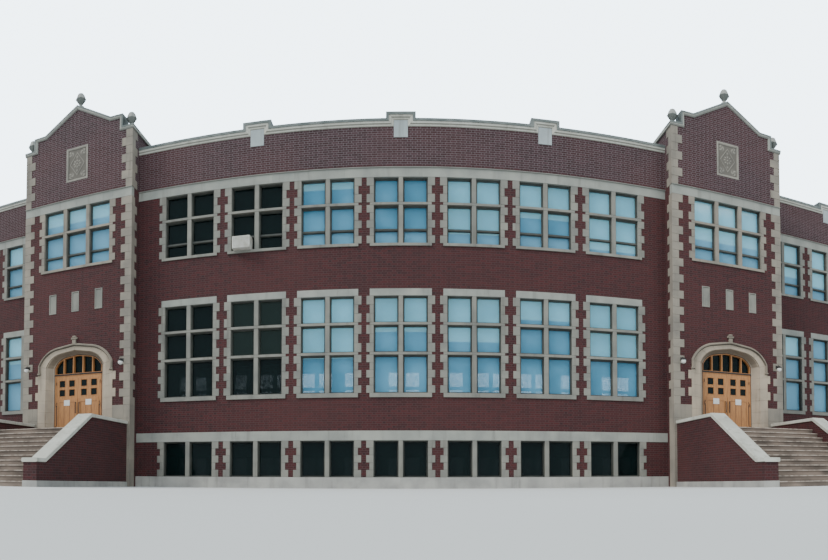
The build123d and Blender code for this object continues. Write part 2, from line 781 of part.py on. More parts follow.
with BuildPart() as carved_panels:
    with BuildSketch(facing(TOWER_Y + PANEL_DEPTH)):
        blocks_on(TOWERS_X, PANEL_WIDTH / 2, *PANEL_BOX)
    extrude(amount=PANEL_DEPTH + STONE_PROUD)
    with BuildSketch(facing(TOWER_Y - STONE_PROUD)):
        low, high = PANEL_BOX[0] + PANEL_BORDER, PANEL_BOX[1] - PANEL_BORDER
        blocks_on(TOWERS_X, PANEL_WIDTH / 2 - PANEL_BORDER, low, high)
    extrude(amount=-PANEL_SINK, mode=Mode.SUBTRACT)
write(carved_panels.part, "carved_panels")

with BuildPart() as wall_slot_stones:
    with BuildSketch(facing(TOWER_Y + SLOT_DEPTH)):
        blocks_on(SLOTS_X, SLOT_WIDTH / 2, *SLOT_BOX)
    extrude(amount=SLOT_DEPTH + STONE_PROUD)
    with BuildSketch(facing(TOWER_Y - STONE_PROUD)):
        low, high = SLOT_BOX[0] + SLOT_BORDER, SLOT_BOX[1] - SLOT_BORDER
        blocks_on(SLOTS_X, SLOT_WIDTH / 2 - SLOT_BORDER, low, high)
    extrude(amount=-SLOT_SINK, mode=Mode.SUBTRACT)
write(wall_slot_stones.part, "wall_slot_stones")

# Gable copings, which run back over the tower's side and rear walls
GABLE_SLOPE = math.atan2(GABLE_TOP - KNEELER_TOP, KNEELER_IN)
with BuildPart() as gable_copings:
    for x in TOWERS_X:
        reach = TOWER_HALF + GABLE_COPING_OVERHANG
        shoulder = KNEELER_OUT + GABLE_COPING
        top = [
            (reach, SHELF_TOP),
            (reach, SHELF_TOP + GABLE_COPING),
            (shoulder, SHELF_TOP + GABLE_COPING),
            (shoulder, KNEELER_TOP + GABLE_COPING),
            (KNEELER_IN, KNEELER_TOP + GABLE_COPING),
        ]
        ridge = [(0, GABLE_TOP + GABLE_COPING / math.cos(GABLE_SLOPE))]
        over = [(x + r, z) for r, z in top + ridge + [(-r, z) for r, z in reversed(top)]]
        under = gable_points(x, TOWER_HALF)
        with BuildSketch(facing(TOWER_Y + WALL)):
            with BuildLine() as outline:
                Polyline(*over, *reversed(under), close=True)
            make_face(outline.edges())
        extrude(amount=WALL + GABLE_COPING_OVERHANG)
        with BuildSketch(Plane.XY.offset(SHELF_TOP)):
            y0, y1 = TOWER_Y + WALL, TOWER_REAR + GABLE_COPING_OVERHANG
            rect(x - reach, x + reach, y0, y1)
            inner = TOWER_HALF - WALL - GABLE_COPING_OVERHANG
            y1 = TOWER_REAR - WALL - GABLE_COPING_OVERHANG
            rect(x - inner, x + inner, y0, y1, Mode.SUBTRACT)
        extrude(amount=GABLE_COPING)
write(gable_copings.part, "gable_copings")


def turned(x, y, z, rings, sides):
    """A solid of flat faces through regular rings, each (radius, height above z)."""
    angles = [(i + 0.5) * 2 * math.pi / sides for i in range(sides)]
    levels = [
        [(x + r * math.cos(a), y + r * math.sin(a), z + height) for a in angles]
        for r, height in rings
    ]
    outlines = [levels[0], levels[-1]]
    for low, high in zip(levels, levels[1:]):
        for i, j in zip(range(sides), [*range(1, sides), 0]):
            outlines.append([low[i], low[j], high[j], high[i]])
    return Solid(Shell([Face(Wire.make_polygon(points)) for points in outlines]))


def finial(x, z):
    """An eight-sided acorn on a waisted neck and a square foot."""
    y = TOWER_Y + WALL / 2
    with BuildPart() as acorn:
        with Locations((x, y, z)):
            foot = (Align.CENTER, Align.CENTER, Align.MIN)
            Box(FINIAL_BASE, FINIAL_BASE, FINIAL_BASE_HEIGHT, align=foot)
        neck, wide = FINIAL_NECK / 2, FINIAL_WIDTH / 2
        shape = ((1.3, 0), (0.8, 0.18), (wide / neck, 0.52), (wide / neck, 0.58), (0.9, 0.9), (0.3, 1))
        rings = [(neck * share, FINIAL_HEIGHT * rise) for share, rise in shape]
        add(turned(x, y, z + FINIAL_BASE_HEIGHT, rings, 8))
    return acorn.part


with BuildPart() as finials:
    for x in TOWERS_X:
        add(finial(x, GABLE_TOP + GABLE_COPING / math.cos(GABLE_SLOPE)))
        for side in SIDES.values():
            add(finial(x + side * (TOWER_HALF - FINIAL_INSET), SHELF_TOP + GABLE_COPING))
write(finials.part, "finials")


# Stone doorways: splayed jambs, and a depressed arch under a hood mould
FRAME_Y = TOWER_Y + DOOR_RECESS
with BuildPart() as door_jambs:
    with BuildSketch(Plane.XY.offset(FIRST_FLOOR)):
        for x in TOWERS_X:
            for side in SIDES.values():
                with BuildLine() as plan:
                    Polyline(
                        (x + side * SURROUND_HALF, TOWER_Y - STONE_PROUD),
                        (x + side * (DOOR_HALF + REVEAL_SPLAY), TOWER_Y - STONE_PROUD),
                        (x + side * DOOR_HALF, FRAME_Y),
                        (x + side * DOOR_HALF, TOWER_Y + WALL),
                        (x + side * SURROUND_HALF, TOWER_Y + WALL),
                        close=True,
                    )
                make_face(plan.edges())
    extrude(amount=ARCH_SPRING - FIRST_FLOOR)
    with BuildSketch(facing(TOWER_Y)):
        count = round((ARCH_SPRING - STONE_BASE_TOP) / QUOIN_COURSE)
        step = (ARCH_SPRING - STONE_BASE_TOP) / count
        for i in range(1, count, 2):
            low = STONE_BASE_TOP + i * step
            blocks_on(TOWERS_X, SURROUND_HALF + JAMB_TOOTH, low, low + step)
        blocks_on(TOWERS_X, SURROUND_HALF, STONE_BASE_TOP, ARCH_SPRING, Mode.SUBTRACT)
    extrude(amount=STONE_PROUD)
write(door_jambs.part, "door_jambs")

with BuildPart() as door_arches:
    with BuildSketch(facing(TOWER_Y + WALL)):
        for x in TOWERS_X:
            doorway_outline(SURROUND_HALF, ARCH_SPRING, HOOD_SPRING, HOOD_RISE, x)
            doorway_outline(DOOR_HALF, ARCH_SPRING, ARCH_SPRING, ARCH_RISE, x, Mode.SUBTRACT)
    extrude(amount=WALL + STONE_PROUD)
    with BuildSketch(facing(TOWER_Y - STONE_PROUD)):
        half = DOOR_HALF + REVEAL_SPLAY
        for x in TOWERS_X:
            doorway_outline(half, ARCH_SPRING, ARCH_SPRING, ARCH_RISE + REVEAL_LIFT, x)
    extrude(amount=-DOOR_RECESS / 2, mode=Mode.SUBTRACT)
    with BuildSketch(facing(TOWER_Y - STONE_PROUD)):
        stop = HOOD_SPRING - HOOD_STOP
        for x in TOWERS_X:
            doorway_outline(SURROUND_HALF, stop, HOOD_SPRING, HOOD_RISE, x)
            half = SURROUND_HALF - HOOD_WIDTH
            doorway_outline(half, stop, HOOD_SPRING, HOOD_RISE - HOOD_WIDTH, x, Mode.SUBTRACT)
    extrude(amount=HOOD_PROUD)
    with BuildSketch(facing(TOWER_Y)):
        low, high = HOOD_SPRING + HOOD_RISE - HOOD_WIDTH, HOOD_SPRING + HOOD_RISE + CREST_RISE
        blocks_on(TOWERS_X, CREST_HALF, low, high)
        blocks_on(TOWERS_X, 2 * CREST_HALF, high - CREST_HALF * 2, high - CREST_HALF)
        doorway = HOOD_RISE - HOOD_WIDTH / 2
        for x in TOWERS_X:
            doorway_outline(SURROUND_HALF, ARCH_SPRING, HOOD_SPRING, doorway, x, Mode.SUBTRACT)
    extrude(amount=HOOD_PROUD)
write(door_arches.part, "door_arches")


# Door frames, each with a transom bar and a fanlight of upright bars under the arch
HINGE_Y = FRAME_Y - HINGE_RADIUS - HINGE_FACE_GAP
LEAF_FOOT = FIRST_FLOOR + LEAF_FLOOR_GAP
LEAF_TOP = DOOR_HEAD - LEAF_HEAD_GAP
CLEAR_HALF = DOOR_HALF - FRAME_JAMB
HINGE_X = CLEAR_HALF - LEAF_GAP / 2
FAN_FOOT = DOOR_HEAD + TRANSOM_BAR
HINGES_Z = [LEAF_FOOT + level * (LEAF_TOP - LEAF_FOOT) for level in HINGE_LEVELS]


def knuckle(pivot_x, toward, z):
    """One half of a hinge: a barrel on the pivot and its lug on the face behind it."""
    with BuildSketch(Plane.XY.offset(z)) as barrel:
        with Locations((pivot_x, HINGE_Y)):
            RegularPolygon(HINGE_RADIUS, 8)
    extrude(barrel.sketch, amount=HINGE_LENGTH - HINGE_PLAY)
    lug = (Align.MIN if toward > 0 else Align.MAX, Align.MIN, Align.MIN)
    with Locations((pivot_x, HINGE_Y, z)):
        Box(HINGE_LUG, FRAME_Y - HINGE_Y, HINGE_LENGTH - HINGE_PLAY, align=lug)


def door_frame(x):
    bars = [
        x + (i - (FANLIGHT_MULLIONS - 1) / 2) * 2 * DOOR_HALF / (FANLIGHT_MULLIONS + 1)
        for i in range(FANLIGHT_MULLIONS)
    ]
    with BuildPart() as frame:
        with BuildSketch(facing(FRAME_Y + FRAME_DEPTH)):
            doorway_outline(DOOR_HALF, FIRST_FLOOR, ARCH_SPRING, ARCH_RISE, x)
            rise = ARCH_RISE - FANLIGHT_BAR
            half = DOOR_HALF - FANLIGHT_BAR
            doorway_outline(half, FAN_FOOT, ARCH_SPRING, rise, x, Mode.SUBTRACT)
            rect(x - CLEAR_HALF, x + CLEAR_HALF, FIRST_FLOOR, DOOR_HEAD, Mode.SUBTRACT)
        extrude(amount=FRAME_DEPTH)
        with BuildSketch(facing(FRAME_Y + FRAME_DEPTH)):
            blocks_on(bars, FANLIGHT_BAR / 2, DOOR_HEAD, ARCH_SPRING + ARCH_RISE)
            doorway_outline(DOOR_HALF, DOOR_HEAD, ARCH_SPRING, ARCH_RISE, x, Mode.INTERSECT)
        extrude(amount=FRAME_DEPTH)
        for side in SIDES.values():
            for z in HINGES_Z:
                knuckle(x + side * HINGE_X, side, z - HINGE_LENGTH)
    return frame.part


def door_leaf(x, side):
    """One leaf: a plank door with four small square panes and a pull beside its edge."""
    near, far = x + side * LEAF_GAP / 2, x + side * (CLEAR_HALF - LEAF_GAP)
    x0, x1 = sorted((near, far))
    middle = (x0 + x1) / 2
    with BuildPart() as leaf:
        with BuildSketch(facing(FRAME_Y + LEAF_THICK)):
            rect(x0, x1, LEAF_FOOT, LEAF_TOP)
            with Locations((middle, LEAF_TOP - PANES_TOP_RAIL - PANE - PANE_GAP / 2)):
                with GridLocations(PANE + PANE_GAP_ACROSS, PANE + PANE_GAP, 2, 2):
                    Rectangle(PANE, PANE, mode=Mode.SUBTRACT)
        extrude(amount=LEAF_THICK)
        for z in HINGES_Z:
            knuckle(x + side * HINGE_X, -side, z)
        grip = near + side * PULL_INSET
        low = LEAF_FOOT + PULL_Z - PULL_HEIGHT / 2
        with BuildSketch(Plane.YZ.offset(grip - PULL_SIZE / 2)):
            rect(FRAME_Y - PULL_REACH, FRAME_Y, low, low + PULL_HEIGHT)
            z0, z1 = low + PULL_SIZE, low + PULL_HEIGHT - PULL_SIZE
            rect(FRAME_Y - PULL_REACH + PULL_SIZE, FRAME_Y, z0, z1, Mode.SUBTRACT)
        extrude(amount=PULL_SIZE)
    return leaf.part


for place, place_side in SIDES.items():
    x = place_side * TOWER_X
    write(door_frame(x), f"{place}_door_frame")
    for hand, side in SIDES.items():
        write(door_leaf(x, side), f"{place}_doorway_{hand}_leaf")

with BuildPart() as tower_glazing:
    add(glass_sheets(TOWER_Y, TOWERS_X, TRIPLE_WIDTH, [SECOND_ROW]))
    with BuildSketch(facing(FRAME_Y + FRAME_DEPTH + GLASS_THICK)):
        for x in TOWERS_X:
            doorway_outline(DOOR_HALF, FAN_FOOT, ARCH_SPRING, ARCH_RISE, x)
    extrude(amount=GLASS_THICK)
write(tower_glazing.part, "tower_glazing")

# Steps up to each doorway, between side walls that end in a low pier
STAIR_BACK = TOWER_Y - STONE_PROUD
LANDING_Y = TOWER_Y - LANDING_DEPTH
STAIR_FRONT = LANDING_Y - FLIGHT_RUN
STEP_HALF = SIDE_WALL_OUTER - SIDE_WALL
PARAPET_LEVEL = FIRST_FLOOR + SIDE_PARAPET
SLOPE_FOOT_Y = LANDING_Y - (PARAPET_LEVEL - PIER_TOP) / math.tan(SLOPE)


def flight(x):
    """Landing and treads in one mass, drawn from the side."""
    edge = [(STAIR_BACK, 0), (STAIR_BACK, FIRST_FLOOR), (LANDING_Y, FIRST_FLOOR)]
    for i in range(1, RISERS):
        level = FIRST_FLOOR - i * RISE
        edge += [(LANDING_Y - (i - 1) * TREAD, level), (LANDING_Y - i * TREAD, level)]
    edge.append((STAIR_FRONT, 0))
    with BuildPart() as steps:
        with BuildSketch(Plane.YZ.offset(x - STEP_HALF)):
            with BuildLine() as profile:
                Polyline(*edge, close=True)
            make_face(profile.edges())
        extrude(amount=2 * STEP_HALF)
    return steps.part


for place, place_side in SIDES.items():
    write(flight(place_side * TOWER_X), f"{place}_steps")

# The inner edges of the four side walls, and the way each one faces
STAIR_SIDES = [(x, side) for x in TOWERS_X for side in SIDES.values()]

with BuildPart() as stair_walls:
    for x, side in STAIR_SIDES:
        with BuildSketch(Plane.YZ.offset(min(x + side * STEP_HALF, x + side * SIDE_WALL_OUTER))):
            with BuildLine() as profile:
                Polyline(
                    (STAIR_BACK, STAIR_PLINTH_TOP),
                    (STAIR_BACK, PARAPET_LEVEL),
                    (LANDING_Y, PARAPET_LEVEL),
                    (SLOPE_FOOT_Y, PIER_TOP),
                    (STAIR_FRONT, PIER_TOP),
                    (STAIR_FRONT, STAIR_PLINTH_TOP),
                    close=True,
                )
            make_face(profile.edges())
        extrude(amount=SIDE_WALL)
write(stair_walls.part, "stair_walls")

with BuildPart() as stair_copings:
    mitre = STAIR_COPING * math.tan(SLOPE / 2)
    front = STAIR_FRONT - STAIR_COPING_OVERHANG
    for x, side in STAIR_SIDES:
        start = min(x + side * STEP_HALF, x + side * SIDE_WALL_OUTER) - STAIR_COPING_OVERHANG
        with BuildSketch(Plane.YZ.offset(start)):
            with BuildLine() as profile:
                Polyline(
                    (STAIR_BACK, PARAPET_LEVEL),
                    (LANDING_Y, PARAPET_LEVEL),
                    (SLOPE_FOOT_Y, PIER_TOP),
                    (front, PIER_TOP),
                    (front, PIER_TOP + STAIR_COPING),
                    (SLOPE_FOOT_Y - mitre, PIER_TOP + STAIR_COPING),
                    (LANDING_Y - mitre, PARAPET_LEVEL + STAIR_COPING),
                    (STAIR_BACK, PARAPET_LEVEL + STAIR_COPING),
                    close=True,
                )
            make_face(profile.edges())
        extrude(amount=SIDE_WALL + 2 * STAIR_COPING_OVERHANG)
write(stair_copings.part, "stair_copings")

with BuildPart() as stair_plinths:
    with BuildSketch():
        for x, side in STAIR_SIDES:
            ends = (x + side * STEP_HALF, x + side * (SIDE_WALL_OUTER + STAIR_PLINTH_PROUD))
            rect(*sorted(ends), STAIR_FRONT - STAIR_PLINTH_PROUD, STAIR_BACK)
    extrude(amount=STAIR_PLINTH_TOP)
write(stair_plinths.part, "stair_plinths")

# Lanterns on both sides of each doorway
LANTERNS_X = [x + side * LANTERN_X for x, side in STAIR_SIDES]
GLOBE_Y = STAIR_BACK - LANTERN_REACH
with BuildPart() as lantern_brackets:
    with BuildSketch(facing(STAIR_BACK)):
        half = LANTERN_PLATE / 2
        blocks_on(LANTERNS_X, half / 2, LANTERN_Z - half, LANTERN_Z + half)
    extrude(amount=LANTERN_ARM / 2)
    with BuildSketch(facing(STAIR_BACK)):
        half = LANTERN_ARM / 2
        blocks_on(LANTERNS_X, half, LANTERN_Z - half, LANTERN_Z + half)
    extrude(amount=LANTERN_REACH)
    with BuildSketch(Plane.XY.offset(LANTERN_Z - LANTERN_ARM / 2)):
        with Locations(*[(x, GLOBE_Y) for x in LANTERNS_X]):
            RegularPolygon(LANTERN_CAP, 8)
    extrude(amount=LANTERN_ARM)
write(lantern_brackets.part, "lantern_brackets")

with BuildPart() as lantern_globes:
    rings = [(LANTERN_CAP / 2, 0)]
    for tilt in (-60, -30, 0, 30, 60):
        angle = math.radians(tilt)
        rings.append((GLOBE_RADIUS * math.cos(angle), GLOBE_RADIUS * (1 + math.sin(angle))))
    rings.append((LANTERN_CAP / 2, 2 * GLOBE_RADIUS))
    foot = LANTERN_Z - LANTERN_ARM / 2 - 2 * GLOBE_RADIUS
    for x in LANTERNS_X:
        add(turned(x, GLOBE_Y, foot, rings, 12))
write(lantern_globes.part, "lantern_globes")

# A window air conditioner in one second-floor light
with BuildPart() as window_air_conditioner:
    cooler_x = MAIN_BAYS_X[COOLER_BAY] - (LIGHT_WIDTH + MULLION) / 2
    with BuildSketch(facing(MAIN_Y + SURROUND_DEPTH)):
        blocks_on([cooler_x], COOLER_WIDTH / 2, SECOND_SILL, SECOND_SILL + COOLER_HEIGHT)
    extrude(amount=SURROUND_DEPTH + COOLER_PROUD)
write(window_air_conditioner.part, "window_air_conditioner")
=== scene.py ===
import math

import bpy
import numpy as np
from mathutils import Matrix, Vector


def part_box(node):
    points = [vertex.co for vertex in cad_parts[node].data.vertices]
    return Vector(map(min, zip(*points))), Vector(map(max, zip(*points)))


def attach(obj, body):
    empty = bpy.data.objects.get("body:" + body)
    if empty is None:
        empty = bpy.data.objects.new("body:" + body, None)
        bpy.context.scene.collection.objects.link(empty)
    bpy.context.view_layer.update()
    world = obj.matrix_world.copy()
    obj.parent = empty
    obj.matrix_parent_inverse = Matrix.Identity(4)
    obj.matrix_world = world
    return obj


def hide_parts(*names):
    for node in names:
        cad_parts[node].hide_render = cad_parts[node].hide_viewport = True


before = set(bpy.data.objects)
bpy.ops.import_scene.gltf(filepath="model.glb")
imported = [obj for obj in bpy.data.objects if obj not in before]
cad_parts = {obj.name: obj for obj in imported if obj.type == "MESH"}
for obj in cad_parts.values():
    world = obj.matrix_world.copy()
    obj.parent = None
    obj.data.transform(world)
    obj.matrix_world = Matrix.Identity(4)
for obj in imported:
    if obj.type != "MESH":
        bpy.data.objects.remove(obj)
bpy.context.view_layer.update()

# The view: the photograph is a stitched panorama, which lays the flat front on a cylinder,
# so the camera is a cylindrical one, tilted a little up, near the middle of the front.
TOWER_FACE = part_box("tower_front_walls")[0][1]
MAIN_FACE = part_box("main_front_wall")[0][1]
WING_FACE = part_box("wing_front_walls")[0][1]
REAR_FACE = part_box("rear_wall")[1][1]
EYE_X = 0.254
EYE_Z = 0.20
EYE_DISTANCE = 20.84
EYE_TILT = 0.028
PIXELS_PER_RADIAN = 638.3
PIXELS_UP = 645.7
FRAME_WIDTH, FRAME_HEIGHT = 828, 560
CENTRE_COLUMN = 408.3
LEVEL_ROW = 464.7

lens = bpy.data.cameras.new("view")
lens.type = "PANO"
lens.panorama_type = "CENTRAL_CYLINDRICAL"
lens.central_cylindrical_range_u_min = -CENTRE_COLUMN / PIXELS_PER_RADIAN
lens.central_cylindrical_range_u_max = (FRAME_WIDTH - CENTRE_COLUMN) / PIXELS_PER_RADIAN
lens.central_cylindrical_range_v_min = -(FRAME_HEIGHT - LEVEL_ROW) / PIXELS_UP
lens.central_cylindrical_range_v_max = LEVEL_ROW / PIXELS_UP
camera = bpy.data.objects.new("view", lens)
camera.location = (EYE_X, TOWER_FACE - EYE_DISTANCE, EYE_Z)
camera.rotation_euler = (math.pi / 2 + EYE_TILT, 0, 0)
bpy.context.scene.collection.objects.link(camera)
bpy.context.scene.camera = camera

# The light: a pale sky all round and one broad soft lamp high on the left, in front of the
# building, as in a studio with a large soft box.
SKY_COLOUR = (0.76, 0.90, 1.0, 1)
SKY_STRENGTH = 0.95
BACKDROP_STRENGTH = 6.0
LAMP_POWER = 2.2
FILL_SHARE = 0.3
LAMP_SPREAD = math.radians(25)
LAMP_COLOUR = (1.0, 0.96, 0.9)

sky = bpy.data.worlds.new("sky")
sky.use_nodes = True
sky.node_tree.nodes["Background"].inputs["Color"].default_value = SKY_COLOUR
backdrop = sky.node_tree.nodes.new("ShaderNodeLightPath").outputs["Is Camera Ray"]
strength = sky.node_tree.nodes.new("ShaderNodeMath")
strength.operation = "MULTIPLY_ADD"
sky.node_tree.links.new(backdrop, strength.inputs[0])
strength.inputs[1].default_value = BACKDROP_STRENGTH - SKY_STRENGTH
strength.inputs[2].default_value = SKY_STRENGTH
sky.node_tree.links.new(strength.outputs[0], sky.node_tree.nodes["Background"].inputs["Strength"])
bpy.context.scene.world = sky
for lamp_name, power, turn in (
    ("key_lamp", LAMP_POWER, (math.radians(48), 0, math.radians(-62))),
    ("fill_lamp", LAMP_POWER * FILL_SHARE, (math.radians(55), 0, math.radians(30))),
):
    lamp = bpy.data.lights.new(lamp_name, "SUN")
    lamp.energy = power
    lamp.angle = LAMP_SPREAD
    lamp.color = LAMP_COLOUR
    holder = bpy.data.objects.new(lamp_name, lamp)
    holder.rotation_euler = turn
    bpy.context.scene.collection.objects.link(holder)


def add_node(tree, kind, inputs=(), **settings):
    """A shader node of that kind with its settings; an input takes a value or a socket."""
    made = tree.nodes.new("ShaderNode" + kind)
    for key, value in settings.items():
        setattr(made, key, value)
    for key, value in dict(inputs).items():
        if isinstance(value, bpy.types.NodeSocket):
            tree.links.new(value, made.inputs[key])
        else:
            made.inputs[key].default_value = value
    return made


def calculate(tree, operation, a, b=0.0, c=0.0):
    """The output of a Math node."""
    return add_node(tree, "Math", {0: a, 1: b, 2: c}, operation=operation).outputs[0]


def axes_of(tree, kind, output):
    """The x, y and z of a vector that the surface gives: its place, or the way it faces."""
    return add_node(tree, "SeparateXYZ", {0: add_node(tree, kind).outputs[output]}).outputs


def new_material(name, colour, roughness, metallic=0.0):
    """A material whose Principled shader has these plain values, and its parts."""
    material = bpy.data.materials.new(name)
    material.use_nodes = True
    tree = material.node_tree
    shader = tree.nodes["Principled BSDF"]
    shader.inputs["Base Color"].default_value = (*colour, 1)
    shader.inputs["Roughness"].default_value = roughness
    shader.inputs["Metallic"].default_value = metallic
    return material, tree, shader


def blotches(tree, scale, detail=4.0, stretch=(1, 1, 1)):
    """Noise on Object coordinates, stretched along the axes."""
    place = add_node(tree, "TexCoord").outputs["Object"]
    turned = add_node(tree, "Mapping", {"Vector": place, "Scale": stretch}).outputs[0]
    inputs = {"Vector": turned, "Scale": scale, "Detail": detail}
    return add_node(tree, "TexNoise", inputs).outputs[0]


def blend_colours(tree, factor, first, second):
    """The colour output of a Mix node; first and second are RGB values or sockets."""
    mix = add_node(tree, "Mix", data_type="RGBA")
    for index, value in ((0, factor), (6, first), (7, second)):
        if isinstance(value, bpy.types.NodeSocket):
            tree.links.new(value, mix.inputs[index])
        else:
            mix.inputs[index].default_value = value if index == 0 else (*value, 1)
    return mix.outputs[2]


def tinge(tree, colour, mask, share, other):
    """The colour, turned towards the other by that share where the mask is 1."""
    return blend_colours(tree, calculate(tree, "MULTIPLY", mask, share), colour, other)


def paint(tree, shader, colour):
    """Gives the shader a colour that varies over the surface."""
    tree.links.new(colour, shader.inputs["Base Color"])


def stepped(tree, value, low, high):
    """0 below low, 1 above high, and a smooth step between them."""
    inputs = {"Value": value, "From Min": low, "From Max": high}
    return add_node(tree, "MapRange", inputs, interpolation_type="SMOOTHSTEP").outputs[0]


def roughen(tree, shader, height, distance):
    """Bump on the shader from a height in 0 to 1 and its depth in metres."""
    inputs = {"Height": height, "Distance": distance, "Strength": 1.0}
    bump = add_node(tree, "Bump", inputs).outputs[0]
    tree.links.new(bump, shader.inputs["Normal"])


def dress(node_names, material):
    """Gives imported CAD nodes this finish."""
    for name in node_names:
        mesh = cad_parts[name].data
        mesh.materials.clear()
        mesh.materials.append(material)


# The floor under the building is a plain pale studio sheet, no part of the object.
STUDIO_FLOOR = 400.0
STUDIO_PALE = (0.75, 0.76, 0.75)
STUDIO_GREY = (0.70, 0.71, 0.70)

sheet = bpy.data.meshes.new("studio_floor")
reach = STUDIO_FLOOR / 2
corners = [(-reach, -reach, 0), (reach, -reach, 0), (reach, reach, 0), (-reach, reach, 0)]
sheet.from_pydata(corners, [], [(0, 1, 2, 3)])
studio_floor = bpy.data.objects.new("studio_floor", sheet)
bpy.context.scene.collection.objects.link(studio_floor)
floor_finish, tree, shader = new_material("studio_sheet", STUDIO_GREY, 0.9)
tint = stepped(tree, blotches(tree, 0.05), 0.3, 0.7)
paint(tree, shader, blend_colours(tree, tint, STUDIO_GREY, STUDIO_PALE))
sheet.materials.append(floor_finish)

# Brickwork: dark red-brown fired bricks in Flemish bond, a stretcher and a header by
# turns, in ten-millimetre joints of pinkish lime mortar. The parapets are of a browner,
# more purple brick than the storeys under them.
BRICK_PERIOD = 0.3375
STRETCHER_SHARE = 2 / 3
BRICK_COURSE = 0.075
JOINT_HALF = 0.0055
BRICK_LIT = (0.078, 0.0125, 0.014)
BRICK_DARK = (0.027, 0.0075, 0.009)
BRICK_PARAPET = (0.070, 0.030, 0.037)
BRICK_PATCH = (0.100, 0.024, 0.022)
BRICK_GRIME = (0.016, 0.008, 0.009)
MORTAR = (0.085, 0.044, 0.043)
MORTAR_PARAPET = (0.185, 0.155, 0.165)
PARAPET_BRICK_FROM = 10.9

brickwork, tree, shader = new_material("brickwork", BRICK_LIT, 0.85)
place = axes_of(tree, "TexCoord", "Object")
facing = axes_of(tree, "NewGeometry", "Normal")
on_end = calculate(tree, "GREATER_THAN", calculate(tree, "ABSOLUTE", facing[0]), 0.7)
along = add_node(tree, "Mix", {0: on_end, 2: place[0], 3: place[1]}).outputs[0]
rise = calculate(tree, "DIVIDE", place[2], BRICK_COURSE)
course = calculate(tree, "FLOOR", rise)
shift = calculate(tree, "MULTIPLY", calculate(tree, "MODULO", course, 2.0), 0.5)
run = calculate(tree, "MULTIPLY_ADD", along, 1 / BRICK_PERIOD, shift)
pair = calculate(tree, "FLOOR", run)
across = calculate(tree, "SUBTRACT", run, pair)
header = calculate(tree, "GREATER_THAN", across, STRETCHER_SHARE)
to_middle = calculate(tree, "ABSOLUTE", calculate(tree, "SUBTRACT", across, STRETCHER_SHARE))
to_end = calculate(tree, "MINIMUM", across, calculate(tree, "SUBTRACT", 1.0, across))
beside = calculate(tree, "MULTIPLY", calculate(tree, "MINIMUM", to_middle, to_end), BRICK_PERIOD)
up = calculate(tree, "FRACT", rise)
to_bed = calculate(tree, "MINIMUM", up, calculate(tree, "SUBTRACT", 1.0, up))
above = calculate(tree, "MULTIPLY", to_bed, BRICK_COURSE)
edge = calculate(tree, "MINIMUM", beside, above)
in_brick = stepped(tree, edge, JOINT_HALF * 0.7, JOINT_HALF * 1.3)
which = add_node(tree, "CombineXYZ", {0: pair, 1: course, 2: header}).outputs[0]
chance = add_node(tree, "TexWhiteNoise", {"Vector": which}, noise_dimensions="3D").outputs[0]
high_up = stepped(tree, place[2], PARAPET_BRICK_FROM - 0.05, PARAPET_BRICK_FROM + 0.05)
fired = blend_colours(tree, high_up, BRICK_LIT, BRICK_PARAPET)
burnt = calculate(tree, "MULTIPLY_ADD", header, 0.25, calculate(tree, "MULTIPLY", chance, 0.75))
brick_colour = blend_colours(tree, burnt, fired, BRICK_DARK)
patches = stepped(tree, blotches(tree, 0.35), 0.35, 0.7)
brick_colour = tinge(tree, brick_colour, patches, 0.35, BRICK_PATCH)
grain = blotches(tree, 90.0, 3.0)
brick_colour = tinge(tree, brick_colour, grain, 0.3, BRICK_GRIME)
mortar = blend_colours(tree, high_up, MORTAR, MORTAR_PARAPET)
paint(tree, shader, blend_colours(tree, in_brick, mortar, brick_colour))
roughen(tree, shader, calculate(tree, "MULTIPLY_ADD", grain, 0.25, in_brick), 0.006)
dress(
    [
        "main_front_wall", "wing_front_walls", "end_walls", "rear_wall", "tower_front_walls",
        "tower_door_piers", "tower_return_walls", "tower_attic_walls", "stair_walls",
    ],
    brickwork,
)

# Dressed stone: cast stone blocks, grey-buff and weathered, each a little different from
# the next, darker where rain runs down, and with painted shade on their undersides. Chamfers
# at their joints set the blocks apart.
STONE_PALE = (0.290, 0.280, 0.240)
STONE_GREY = (0.180, 0.180, 0.163)
STONE_STAIN_AND_SHADE = (0.11, 0.10, 0.083)
TOWER_PALE = (0.325, 0.285, 0.230)
TOWER_GREY = (0.205, 0.185, 0.158)
BAND_PALE = (0.375, 0.38, 0.335)
BAND_GREY = (0.25, 0.258, 0.236)
# The share of painted shade that darkens faces turned downwards.
UNDERSIDE_SHADE_SHARE = 0.85
STONE_PROUD = 0.015
CHAMFER = 0.007


def stone_finish(name, pale, grey, stain_and_shade, by_block):
    """Weathered stone. Each separate block takes its own tone where by_block is true."""
    material, tree, shader = new_material(name, pale, 0.88)
    worn = stepped(tree, blotches(tree, 1.4, 6.0), 0.3, 0.75)
    colour = blend_colours(tree, worn, pale, grey)
    if by_block:
        tone = add_node(tree, "NewGeometry").outputs["Random Per Island"]
        colour = tinge(tree, colour, tone, 0.45, grey)
    runs = stepped(tree, blotches(tree, 1.0, 5.0, (5.0, 5.0, 0.5)), 0.52, 0.8)
    colour = tinge(tree, colour, runs, 0.55, stain_and_shade)
    # Painted shade: faces that turn downwards are darkened.
    facing = axes_of(tree, "NewGeometry", "Normal")
    below = stepped(tree, calculate(tree, "MULTIPLY", facing[2], -1.0), 0.05, 0.6)
    colour = tinge(tree, colour, below, UNDERSIDE_SHADE_SHARE, stain_and_shade)
    pits = blotches(tree, 60.0, 4.0)
    speck = stepped(tree, pits, 0.6, 0.75)
    paint(tree, shader, tinge(tree, colour, speck, 0.3, stain_and_shade))
    roughen(tree, shader, pits, 0.002)
    return material


